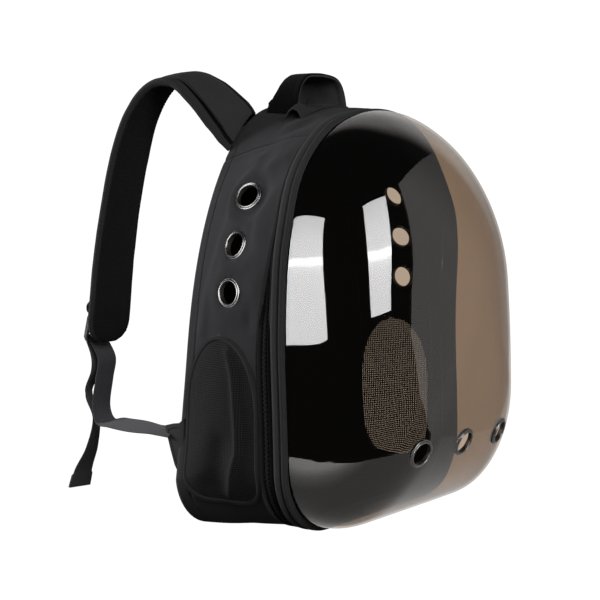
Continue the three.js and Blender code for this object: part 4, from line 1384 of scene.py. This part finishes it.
def dome():
    outer = dome_rows()
    joined = np.concatenate([outer[:, -1:], outer, outer[:, :1]], axis=1)
    normals = normals_of(joined, (0, DOME_EDGE_Y, DOME_CENTRE_Z))[:, 1:-1]
    normals[0] = unit(normals[0] * (1, 0, 1))
    inner = outer - normals * DOME_WALL
    shape = tube_shape(np.concatenate([skirted(inner)[::-1], skirted(outer)]))
    probe = Shape()
    probe.add_grid(outer, wrap_columns=True)
    tree = probe.tree()
    seats = [seat_on(tree, np.array((x, DOME_PROBE_Y, z)), np.array((0, 1.0, 0))) for x, z in DOME_VENTS]
    for seat in seats:
        shape.cut(*round_hole(*seat))
    make("dome_shell", shape, [SMOKE], ["dome"])
    for i, (middle, out) in enumerate(seats, 1):
        eyelet(f"dome_ring_{i}", middle, out, DOME_WALL, f"dome_eyelet_{i}")


# Handle


HANDLE_STEPS = 8
HANDLE_SEAT = 0.4
HANDLE_SPLAY = 3.5
HANDLE_SPLAY_X = 22
HANDLE_FOLD = 0.68
HANDLE_FLAP = 35
HANDLE_FLAP_RISE = (0.2, 0.9)
HANDLE_CREASE = (0.4, 11, 6)
FOLD_REACH = (0, 0.4)
FOLD_STEPS = 24

# Upper half of the handle's section: place across it, and height
HANDLE_SECTION = (
    (-1, 0), (-0.985, 0.7), (-0.9, 1.0), (-0.78, 1.02), (-0.72, 0.75), (-0.6, 1.0), (-0.3, 1.2),
    (-0.1, 1.25), (0, 1.25), (0.1, 1.25), (0.2, 1.22), (0.3, 1.2), (0.45, 1.1), (0.6, 1.0),
    (0.72, 0.75), (0.78, 1.02), (0.9, 1.0), (0.985, 0.7), (1, 0),
)


# Place across the handle, as how far back, how far down and how far it has turned: its back half folds down
# towards the top.
def folded(across, fold, flap):
    if across <= 0:
        return across * HANDLE_WIDTH / 2, 0.0, 0.0
    steps = np.linspace(0, across, FOLD_STEPS + 1)
    angles = fold * smooth_step(*FOLD_REACH, (steps[:-1] + steps[1:]) / 2)
    step = flap * across / FOLD_STEPS
    turn = fold * smooth_step(*FOLD_REACH, across)
    return step * np.cos(angles).sum(), step * np.sin(angles).sum(), turn


def handle():
    half = [(x, HANDLE_FOOT_Z + rise) for x, rise in HANDLE_HALF]
    path = [(-x, 0, z) for x, z in half] + [(x, 0, z) for x, z in reversed(half)]
    line, ways = smooth_line(path, HANDLE_STEPS)
    top_rise = HANDLE_HALF[-1][1]
    under = tuple((across, -height) for across, height in reversed(HANDLE_SECTION[1:-1]))
    rings = []
    for k, (middle, way) in enumerate(zip(line, ways)):
        up = np.array((-way[2], 0, way[0]))
        rise = (middle[2] - HANDLE_FOOT_Z) / top_rise
        fold = math.acos(1 - HANDLE_FOLD * np.clip(rise, 0, 1) ** 2)
        flap = lerp(HANDLE_WIDTH / 2, HANDLE_FLAP, smooth_step(*HANDLE_FLAP_RISE, rise))
        outward = np.clip(middle[0] / HANDLE_SPLAY_X, -1, 1) * HANDLE_SPLAY
        at_foot = k in (0, len(line) - 1)
        ring = []
        for across, height in HANDLE_SECTION + under:
            back, down, turn = folded(across, fold, flap)
            y = HANDLE_Y + back
            crease = ripple((middle[0], y, middle[2]), *HANDLE_CREASE)
            deep = height * HANDLE_THICK / 2 + crease
            place = np.array((middle[0] - outward * across, y + deep * math.sin(turn), middle[2]))
            place = place + up * (deep * math.cos(turn))
            lowest = case_top(place[0], place[1]) + HANDLE_SEAT
            place[2] = lowest if at_foot else max(place[2] - down, lowest)
            ring.append(place)
        rings.append(ring)
    upper = len(HANDLE_SECTION) - 1
    shape = tube_shape(rings, mark=lambda row, column: 0 if column < upper else 1)
    make("carry_handle", shape, [HANDLE_FACE, HANDLE_UNDER], ["handle"])


# The strip in front of the handle, sewn down but for its near end, which bows up across its width. Its
# section is y and height over the top.
PATCH_SECTION = (
    (-15, 0.5), (-15.2, 1.8), (-14, 2.8), (-9, 3.2), (-4, 3.2), (1, 3.2), (6, 2.8), (7.2, 1.8), (7, 0.5),
    (1, 1.5), (-4, 1.7), (-9, 1.5),
)
PATCH_XS = np.linspace(-57, 46, 61)
PATCH_MIDDLE_Y = -4
PATCH_HALF = 11.2
PATCH_AREA = 0.00307
PATCH_BOW = 10.0
PATCH_BOW_X = (-36, -48)
PATCH_SEWN_X = (-29, -24, 6, 12, 18, 24, 30, 36)
PATCH_SEWN_Y = (-14, -4, 6)
PATCH_SEWN_HEIGHT = 3.2


def patch_bow(x, y):
    return PATCH_BOW * smooth_step(*PATCH_BOW_X, x) * max(0, 1 - ((y - PATCH_MIDDLE_Y) / PATCH_HALF) ** 2)


def handle_patch():
    rings = []
    for x in PATCH_XS:
        rings.append([(x, y, case_top(x, y) + height + patch_bow(x, y)) for y, height in PATCH_SECTION])
    piece = make("patch", tube_shape(rings), [CASE_CLOTH], ["handle_patch"])
    area = min(cloth_area(piece), PATCH_AREA)
    lines = [[(x, y, case_top(x, y) + PATCH_SEWN_HEIGHT) for y in PATCH_SEWN_Y] for x in PATCH_SEWN_X]
    normals = [[(x / 140, 0, 1)] * len(PATCH_SEWN_Y) for x in PATCH_SEWN_X]
    stitches("patch_sewing", lines, normals, pitch=4.2, length=3.2, radius=0.45)


# Straps and webbing


BACKWARD = np.array((0, 1.0, 0))


# A smooth run through rows: its line, the ways across and up from it, what else the rows hold, and its
# length so far.
def ribbon(rows, steps, start_way=None):
    rows = np.asarray(rows, float)
    line, ways = smooth_line(rows[:, :3], steps)
    if start_way is not None:
        ways[0] = start_way
    spread = row_at(np.arange(len(line)) / steps, np.arange(len(rows)), rows[:, 3:])
    across = spread[:3].T
    across = unit(across - ways * np.sum(across * ways, axis=1)[:, None])
    return line, across, np.cross(across, ways), spread[3:], running_length(line)


# A strap's section: its outer face has a raised middle between two grooves and bound edges, and its inner
# face is air mesh inside a narrow border. The mark is the material: cloth, air mesh, the near-black lining
# laid in the grooves as painted shade, or rib.
PAD_SECTION = (
    (-1.0, 0.0, 0), (-0.99, 0.35, 0), (-0.96, 0.62, 0), (-0.9, 0.84, 0), (-0.82, 0.94, 0), (-0.74, 0.92, 2),
    (-0.71, 0.6, 2), (-0.68, 0.05, 2), (-0.59, 0.05, 2), (-0.56, 0.6, 3), (-0.53, 0.98, 3), (-0.25, 1.12, 3),
    (0.0, 1.16, 3), (0.25, 1.14, 3), (0.5, 1.08, 3), (0.78, 0.96, 3), (0.83, 0.7, 2), (0.86, 0.4, 2),
    (0.89, 0.66, 0), (0.93, 0.72, 0), (0.97, 0.5, 0), (1.0, 0.0, 0), (0.985, -0.4, 0), (0.95, -0.66, 0),
    (0.92, -0.7, 1), (0.86, -0.84, 1), (0.45, -1.06, 1), (0.0, -1.12, 1), (-0.45, -1.06, 1),
    (-0.86, -0.84, 1), (-0.92, -0.7, 0), (-0.95, -0.66, 0), (-0.985, -0.4, 0),
)
STRAP_STEPS = 10
STRAP_RIPPLE = (0.35, 16, 9)
STRAP_SEAT_Y = BACK_Y + 0.4

# The strap's end narrows to a tongue.
TONGUE_LENGTH = 30
TONGUE_POWER = 2.7
TONGUE_LEAST = 0.34
TONGUE_THINNING = 0.45

# Rows of sewing on a strap's inner face: places across it, depth, and how much of its run they take
PAD_SEWN = (-0.9, 0.9)
PAD_SEWN_DEPTH = 0.76
PAD_SEWN_RUN = slice(14, -4)


def strap(label, rows):
    line, across, up, (wide, deep), reach = ribbon(rows, STRAP_STEPS, BACKWARD)
    tongue = np.clip(1 - (reach[-1] - reach) / TONGUE_LENGTH, 0, 1)
    taper = np.maximum(1 - tongue**TONGUE_POWER, 0) ** (1 / TONGUE_POWER)
    aside = across * (wide / 2 * np.maximum(taper, TONGUE_LEAST))[:, None]
    above = up * (deep / 2)[:, None]
    thin = 1 - TONGUE_THINNING * tongue**3
    rings = []
    for k in range(len(line)):
        ring = []
        for side, height, _ in PAD_SECTION:
            give = ripple(line[k] + across[k] * side * 20, *STRAP_RIPPLE)
            place = line[k] + aside[k] * side + above[k] * height * thin[k] + up[k] * give
            place[1] = max(place[1], STRAP_SEAT_Y)
            ring.append(place)
        rings.append(ring)
    shape = tube_shape(rings, mark=lambda row, column: PAD_SECTION[column][2])
    # The grooves take the near-black lining: painted shade in them.
    materials = [CASE_CLOTH, AIR_MESH, LINING, STRAP_FACE]
    piece = make(f"pad_{label}", shape, materials, [f"strap_{label}"])
    lines = [(line + aside * side - above * PAD_SEWN_DEPTH)[PAD_SEWN_RUN] for side in PAD_SEWN]
    stitches(f"pad_sewing_{label}", lines, [-up[PAD_SEWN_RUN]] * len(lines), pitch=3.4)


LOCK_UP = np.array((0, -LOCK.lean, math.sqrt(1 - LOCK.lean**2)))
LOCK_OUT = np.array((0, LOCK_UP[2], LOCK.lean))
LOCK_HEIGHT = 3 * LOCK.bar + LOCK.top_slot + LOCK.window
TOP_BAR = LOCK_HEIGHT / 2 - LOCK.bar / 2
WEB_CLEAR = LOCK.thick / 2 + WEB_SLACK + WEB_THICK / 2


# Place by a lock, as out and up from its middle.
def in_lock(label, out, up):
    x, y, z = STRAP_ENDS[label]
    return np.array((x, y + LOCK_BEHIND, z + LOCK_ABOVE)) + LOCK_OUT * out + LOCK_UP * up


# A frame with two slots: cells of a grid, with its edges rounded over.
def ladder_lock(label):
    half = LOCK.width / 2
    high = LOCK_HEIGHT / 2
    xs = (-half, -half + LOCK.post, half - LOCK.post, half)
    window_top = -high + LOCK.bar + LOCK.window
    zs = (-high, -high + LOCK.bar, window_top, high - LOCK.bar - LOCK.top_slot, high - LOCK.bar, high)
    open_cells = {(1, 1), (1, 3)}
    rows = len(xs) * len(zs)
    shape = Shape()

    def corner(i, j, face):
        x = xs[i]
        if j == 0 and i in (0, 3):
            x = math.copysign(half - LOCK.chamfer, x)
        return in_lock(label, LOCK.thick / 2 * face, zs[j]) + np.array((-x, 0, 0))

    for face in (1, -1):
        shape.add_points([corner(i, j, face) for i in range(len(xs)) for j in range(len(zs))])
    cells = {(i, j) for i in range(len(xs) - 1) for j in range(len(zs) - 1)} - open_cells
    flat = [(0, 0)] * 4
    for i, j in sorted(cells):
        a, b = i * len(zs) + j, (i + 1) * len(zs) + j
        loop = (a, b, b + 1, a + 1)
        shape.add_face(loop, flat)
        shape.add_face((a + rows, a + 1 + rows, b + 1 + rows, b + rows), flat)
        beside = ((i, j - 1), (i + 1, j), (i, j + 1), (i - 1, j))
        for cell, start, end in zip(beside, loop, loop[1:] + loop[:1]):
            if cell not in cells:
                shape.add_face((start, end, end + rows, start + rows), flat)
    piece = make(f"lock_{label}", shape, [PLASTIC], [f"ladder_lock_{label}"])
    soften(piece, width=1.1, segments=4)


# The webbing's way round a bar of the lock, as out and up.
def round_bar(bar, turn):
    deep = LOCK.thick / 2
    high = LOCK.bar / 2
    clear = WEB_CLEAR - deep
    bevel = clear * math.sqrt(0.5)
    quarter = [(deep + clear, 0), (deep + clear, high), (deep + bevel, high + bevel), (deep, high + clear)]
    path = [(-out, up) for out, up in quarter] + quarter[::-1]
    return [(out, bar + turn * up) for out, up in path]


FLAT_HALF = ((-1, 0), (-0.985, 0.75), (-0.95, 1), (-0.5, 1), (0, 1), (0.5, 1), (0.95, 1), (0.985, 0.75))
FLAT_SECTION = FLAT_HALF + tuple((-side, -height) for side, height in FLAT_HALF)
WEB_STEPS = 9
TAB_STEPS = 6

# The webbing is gathered where it leaves its tab, and its free end is turned over in a hem.
WEB_GATHER = 0.5
GATHER_REACH = (0, 75)
WEB_HEM = 15
HEM_EDGE = (WEB_HEM + 1.2, WEB_HEM - 0.4)
HEM_WIDER = 0.1
HEM_THICKER = 0.9


# The flat faces take their pattern's columns from across the webbing, and its rows from along it.
def webbing_shape(rows, steps, start_way=None, sewn=False):
    line, across, up, _, reach = ribbon(rows, steps, start_way)
    left = reach[-1] - reach
    hemmed = smooth_step(*HEM_EDGE, left) if sewn else np.zeros(len(line))
    gathered = lerp(WEB_GATHER, 1, smooth_step(*GATHER_REACH, reach)) if sewn else np.ones(len(line))
    aside = across * (WEB_WIDTH / 2 * (1 + HEM_WIDER * hemmed) * gathered)[:, None]
    above = up * (WEB_THICK / 2 * (1 + HEM_THICKER * hemmed))[:, None]
    rings = [line + aside * side + above * height for side, height in FLAT_SECTION]
    return tube_shape(np.array(rings).transpose(1, 0, 2)), reach[-1]


def webbing_piece(name, shape, length, node):
    piece = make(name, shape, [WEBBING], [node])
    area = min(cloth_area(piece), WEB_WIDTH * length * MM * MM)


def lock_rows(label, side, route):
    return [(*in_lock(label, out, up), -side, 0, 0) for out, up in route]


def webbing(label, rise, tail, side):
    rows = [*rise, *lock_rows(label, side, round_bar(-TOP_BAR, 1)), *tail]
    shape, length = webbing_shape(rows, WEB_STEPS, BACKWARD, True)
    webbing_piece(f"web_{label}", shape, length, f"webbing_{label}")


LOCK_TAB_REACH = 28

# The tab's outer layer stands off in a loop, as out and up from the lock's middle
LOCK_TAB_LOOP = ((8, 17), (9.5, 22), (6, 27.5))


def lock_tab(label, side):
    near = -WEB_CLEAR - 0.4
    over = TOP_BAR + LOCK.bar / 2 + 1
    route = [(near, LOCK_TAB_REACH), (-WEB_CLEAR, over), *round_bar(TOP_BAR, -1), (WEB_CLEAR, over)]
    route += [*LOCK_TAB_LOOP, (near + 2 * GAP + WEB_THICK, LOCK_TAB_REACH + 3)]
    shape, length = webbing_shape(lock_rows(label, side, route), TAB_STEPS)
    webbing_piece(f"tab_{label}", shape, length, f"lock_tab_{label}")


# The tab in the back seam that the webbing is sewn into: two layers of cloth with a line of stitches. Its
# outline and its sewing are y and z.
ANCHOR_X = 139.5
ANCHOR_HALF = 1.5
ANCHOR_OUTLINE = (
    (60.4, 44), (66, 50), (73, 60.5), (78, 74), (81.5, 85), (85, 97), (76, 99.5), (67, 101), (60.4, 106),
)
ANCHOR_SEWN = ((64, 54), (71, 64), (79, 87), (81, 94), (66, 98))


def anchor_tab(label, side):
    x = side * ANCHOR_X
    depths = (-ANCHOR_HALF, -0.2, 0.2, ANCHOR_HALF)
    rings = [[(x + depth, y, z) for y, z in ANCHOR_OUTLINE] for depth in depths]
    piece = make(f"anchor_{label}", tube_shape(rings), [CASE_CLOTH], [f"anchor_tab_{label}"])
    soften(piece, width=0.6)
    lines = [[(x + face * ANCHOR_HALF, y, z) for y, z in ANCHOR_SEWN] for face in (-1, 1)]
    normals = [[(face, 0, 0)] * len(ANCHOR_SEWN) for face in (-1, 1)]
    stitches(f"anchor_sewing_{label}", lines, normals, pitch=3.2)


# Stage: floor, backdrop, lights and camera


# A grey that follows stops of place and brightness.
def grey_ramp(tree, share, stops):
    ramp = add_node(tree, "ShaderNodeValToRGB", {"Fac": share})
    elements = ramp.color_ramp.elements
    elements[0].position, elements[1].position = stops[0][0], stops[-1][0]
    elements[0].color = (stops[0][1],) * 3 + (1,)
    elements[1].color = (stops[-1][1],) * 3 + (1,)
    for place, bright in stops[1:-1]:
        elements.new(place).color = (bright, bright, bright, 1)
    return ramp.outputs["Color"]


# A glowing plane that some kinds of ray pass by.
def stage_plane(name, mesh, material, colour, bright, passed_by):
    glow = add_node(material.node_tree, "ShaderNodeEmission", {"Color": colour, "Strength": bright})
    mesh.materials.append(surfaced(material, glow.outputs[0]))
    plane = bpy.data.objects.new(name, mesh)
    for kind in passed_by:
        setattr(plane, f"visible_{kind}", False)
    SCENE.collection.objects.link(plane)
    plane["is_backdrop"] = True


# The floor is white to look at. In the gloss it ends before the object, and it's brighter at its near end.
FLOOR_EDGE = (
    (-0.472, 0.189), (-0.518, 0.114), (-0.549, 0.031), (-0.532, -0.156), (-0.408, -0.245), (-0.213, -0.292),
    (-0.057, -0.290), (0.074, -0.256), (0.175, -0.221), (1.2, -0.1), (3.2, 1.5), (1.5, 3.5), (-0.6, 1.2),
)
FLOOR_Z = -0.0004
FLOOR_WHITE = 1.05
FLOOR_GLOSS = 2.2
FLOOR_STOPS = ((0.0, 1.5), (0.15, 1.35), (0.35, 0.6), (0.5, 0.3), (0.65, 0.3), (0.85, 0.3), (1.0, 0.25))
FLOOR_STOPS_FROM = -0.55
FLOOR_STOPS_SPAN = 0.7
WHITE = (1, 1, 1, 1)


def floor():
    mesh = bpy.data.meshes.new("floor")
    mesh.from_pydata([(x, y, FLOOR_Z) for x, y in FLOOR_EDGE], [], [tuple(range(len(FLOOR_EDGE)))])
    material, tree = blank_material("floor")
    across = add_node(tree, "ShaderNodeSeparateXYZ", {"Vector": object_place(tree)}).outputs["X"]
    share = maths(tree, "MULTIPLY_ADD", across, 1 / FLOOR_STOPS_SPAN, -FLOOR_STOPS_FROM / FLOOR_STOPS_SPAN)
    gloss = maths(tree, "MULTIPLY", grey_ramp(tree, share, FLOOR_STOPS), FLOOR_GLOSS)
    seen = add_node(tree, "ShaderNodeLightPath").outputs["Is Camera Ray"]
    bright = between(tree, gloss, FLOOR_WHITE, seen)
    stage_plane("floor", mesh, material, WHITE, bright, ("diffuse", "shadow"))


# Softboxes that show in the gloss: corners from the top left round, in metres
CARD_LEFT = ((-1.156, 0.932, 0.93), (-1.389, -0.33, 1.21), (-1.366, -0.263, 0.103), (-1.187, 0.753, 0.025))
CARD_RIGHT = (
    (-0.661, -1.036, 1.35), (-0.130, -1.237, 1.52), (-0.488, -1.100, 0.241), (-0.796, -0.987, 0.217),
)
CARD_CORNERS = (0, 1, 1, 1, 1, 0, 0, 0)
CARD_BRIGHT = 19.0
CARD_TINT = (0.98, 1.0, 1.03, 1)
CARD_STOPS = (
    (0.0, 0.74), (0.22, 0.84), (0.26, 0.9), (0.3, 1.35), (0.36, 1.3), (0.385, 0.8), (0.6, 0.76), (1.0, 0.62),
)


def card(name, corners):
    mesh = bpy.data.meshes.new(name)
    mesh.from_pydata(corners, [], [(0, 1, 2, 3)])
    mesh.uv_layers.new(name="UVMap").data.foreach_set("uv", CARD_CORNERS)
    material, tree = blank_material(name)
    _, _, v = uv_parts(tree)
    bright = maths(tree, "MULTIPLY", grey_ramp(tree, v, CARD_STOPS), CARD_BRIGHT)
    passed_by = ("camera", "diffuse", "transmission", "shadow")
    stage_plane(name, mesh, material, CARD_TINT, bright, passed_by)


def area_light(name, place, target, size, power):
    light = bpy.data.lights.new(name, "AREA")
    light.shape = "RECTANGLE"
    light.size, light.size_y = size
    light.energy = power
    lamp = bpy.data.objects.new(name, light)
    lamp.location = place
    lamp.rotation_euler = (Vector(target) - Vector(place)).to_track_quat("-Z", "Y").to_euler()
    lamp.visible_glossy = False
    lamp.visible_camera = False
    SCENE.collection.objects.link(lamp)


# The studio: white behind the object, and in its gloss a dark room with two pale walls.
ROOM_DARK = 0.045
WALL_FRONT = 1.1
WALL_SIDE = 0.9
AMBIENT = 0.18

# A wall lies beyond planes, each given by its direction. At an eased one the wall fades in between two
# heights over the plane, from the brightness in the last place.
FRONT_EDGES = ((0.549, -1.033, -1.0), (1.0, -0.1135, -0.388), (1.0, -0.14, 1.493))
FRONT_FADES = (((-0.469, -0.883, 0.0), -0.3, 0.5, 0.27),)
SIDE_FADES = (
    ((1.676, 0.783, -1.0), -0.3, 0.2, 0.0),
    ((0.276, 0.961, 0.0), 0.0, 0.3, 0.0),
    ((0.940, 0.342, 0.0), 0.0, 0.15, 0.0),
    ((0.0, 0.0, 1.0), 0.05, 0.5, 0.4),
)
AMBIENT_FADES = (((-0.6, 0.5, 0.6), -0.7, 0.7, 0.35),)


def world():
    made = bpy.data.worlds.new("studio")
    made.use_nodes = True
    tree = made.node_tree
    tree.nodes.clear()
    direction = add_node(tree, "ShaderNodeTexCoord").outputs["Generated"]

    def along(way):
        inputs = {0: direction, 1: way}
        return add_node(tree, "ShaderNodeVectorMath", inputs, operation="DOT_PRODUCT").outputs["Value"]

    def wall(bright, edges, fades):
        for way in edges:
            bright = maths(tree, "MULTIPLY", bright, maths(tree, "GREATER_THAN", along(way), 0.0))
        for way, low, high, least in fades:
            inputs = {"Value": along(way), "From Min": low, "From Max": high, "To Min": least}
            fade = add_node(tree, "ShaderNodeMapRange", inputs, interpolation_type="SMOOTHSTEP")
            bright = maths(tree, "MULTIPLY", bright, fade.outputs[0])
        return bright

    front = maths(tree, "ADD", wall(WALL_FRONT, FRONT_EDGES, FRONT_FADES), ROOM_DARK)
    gloss = maths(tree, "MAXIMUM", front, wall(WALL_SIDE, (), SIDE_FADES))
    light_path = add_node(tree, "ShaderNodeLightPath")
    inside = between(tree, wall(AMBIENT, (), AMBIENT_FADES), gloss, light_path.outputs["Is Glossy Ray"])
    strength = between(tree, inside, FLOOR_WHITE, light_path.outputs["Is Camera Ray"])
    back = add_node(tree, "ShaderNodeBackground", {"Color": WHITE, "Strength": strength})
    add_node(tree, "ShaderNodeOutputWorld", {"Surface": back.outputs[0]})
    SCENE.world = made


LENS = 78.01
SENSOR = 36
EYE = (-1.02367, -0.76710, 0.31993)
EYE_DOWN = 4.85
EYE_TURN = -52.02


def camera():
    lens = bpy.data.cameras.new("camera")
    lens.lens = LENS
    lens.sensor_width = SENSOR
    eye = bpy.data.objects.new("camera", lens)
    eye.location = EYE
    eye.rotation_euler = (math.radians(90 - EYE_DOWN), 0, math.radians(EYE_TURN))
    SCENE.collection.objects.link(eye)
    SCENE.camera = eye


SCENE.view_settings.view_transform = "Standard"
camera()
world()
floor()
card("card_left", CARD_LEFT)
card("card_right", CARD_RIGHT)
area_light("key", (-0.6, 1.7, 0.55), (0, 0, 0.22), (0.6, 0.6), 50)
area_light("fill", (-0.8, -1.1, 0.95), (-0.05, -0.02, 0.33), (0.9, 0.8), 13)
area_light("far_side", (1.5, 0.5, 0.9), (0, 0, 0.2), (1.0, 1.0), 16)

dome()
back_panel()
base_panel()
top_panel()
for label, side in SIDES:
    side_panel(label, side)
zip_tape()
zip_teeth()
rim_band()
piping()
zip_slider()
handle()
handle_patch()
strap("left", STRAP_LEFT)
strap("right", STRAP_RIGHT)
for label, side in SIDES:
    ladder_lock(label)
    lock_tab(label, side)
    anchor_tab(label, side)
webbing("left", WEB_RISE_LEFT, WEB_TAIL_LEFT, -1)
webbing("right", WEB_RISE_RIGHT, WEB_TAIL_RIGHT, 1)

boxes = {"cad": cad_box, "visual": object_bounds()}
{key: [[float(n) for n in corner] for corner in box] for key, box in boxes.items()}
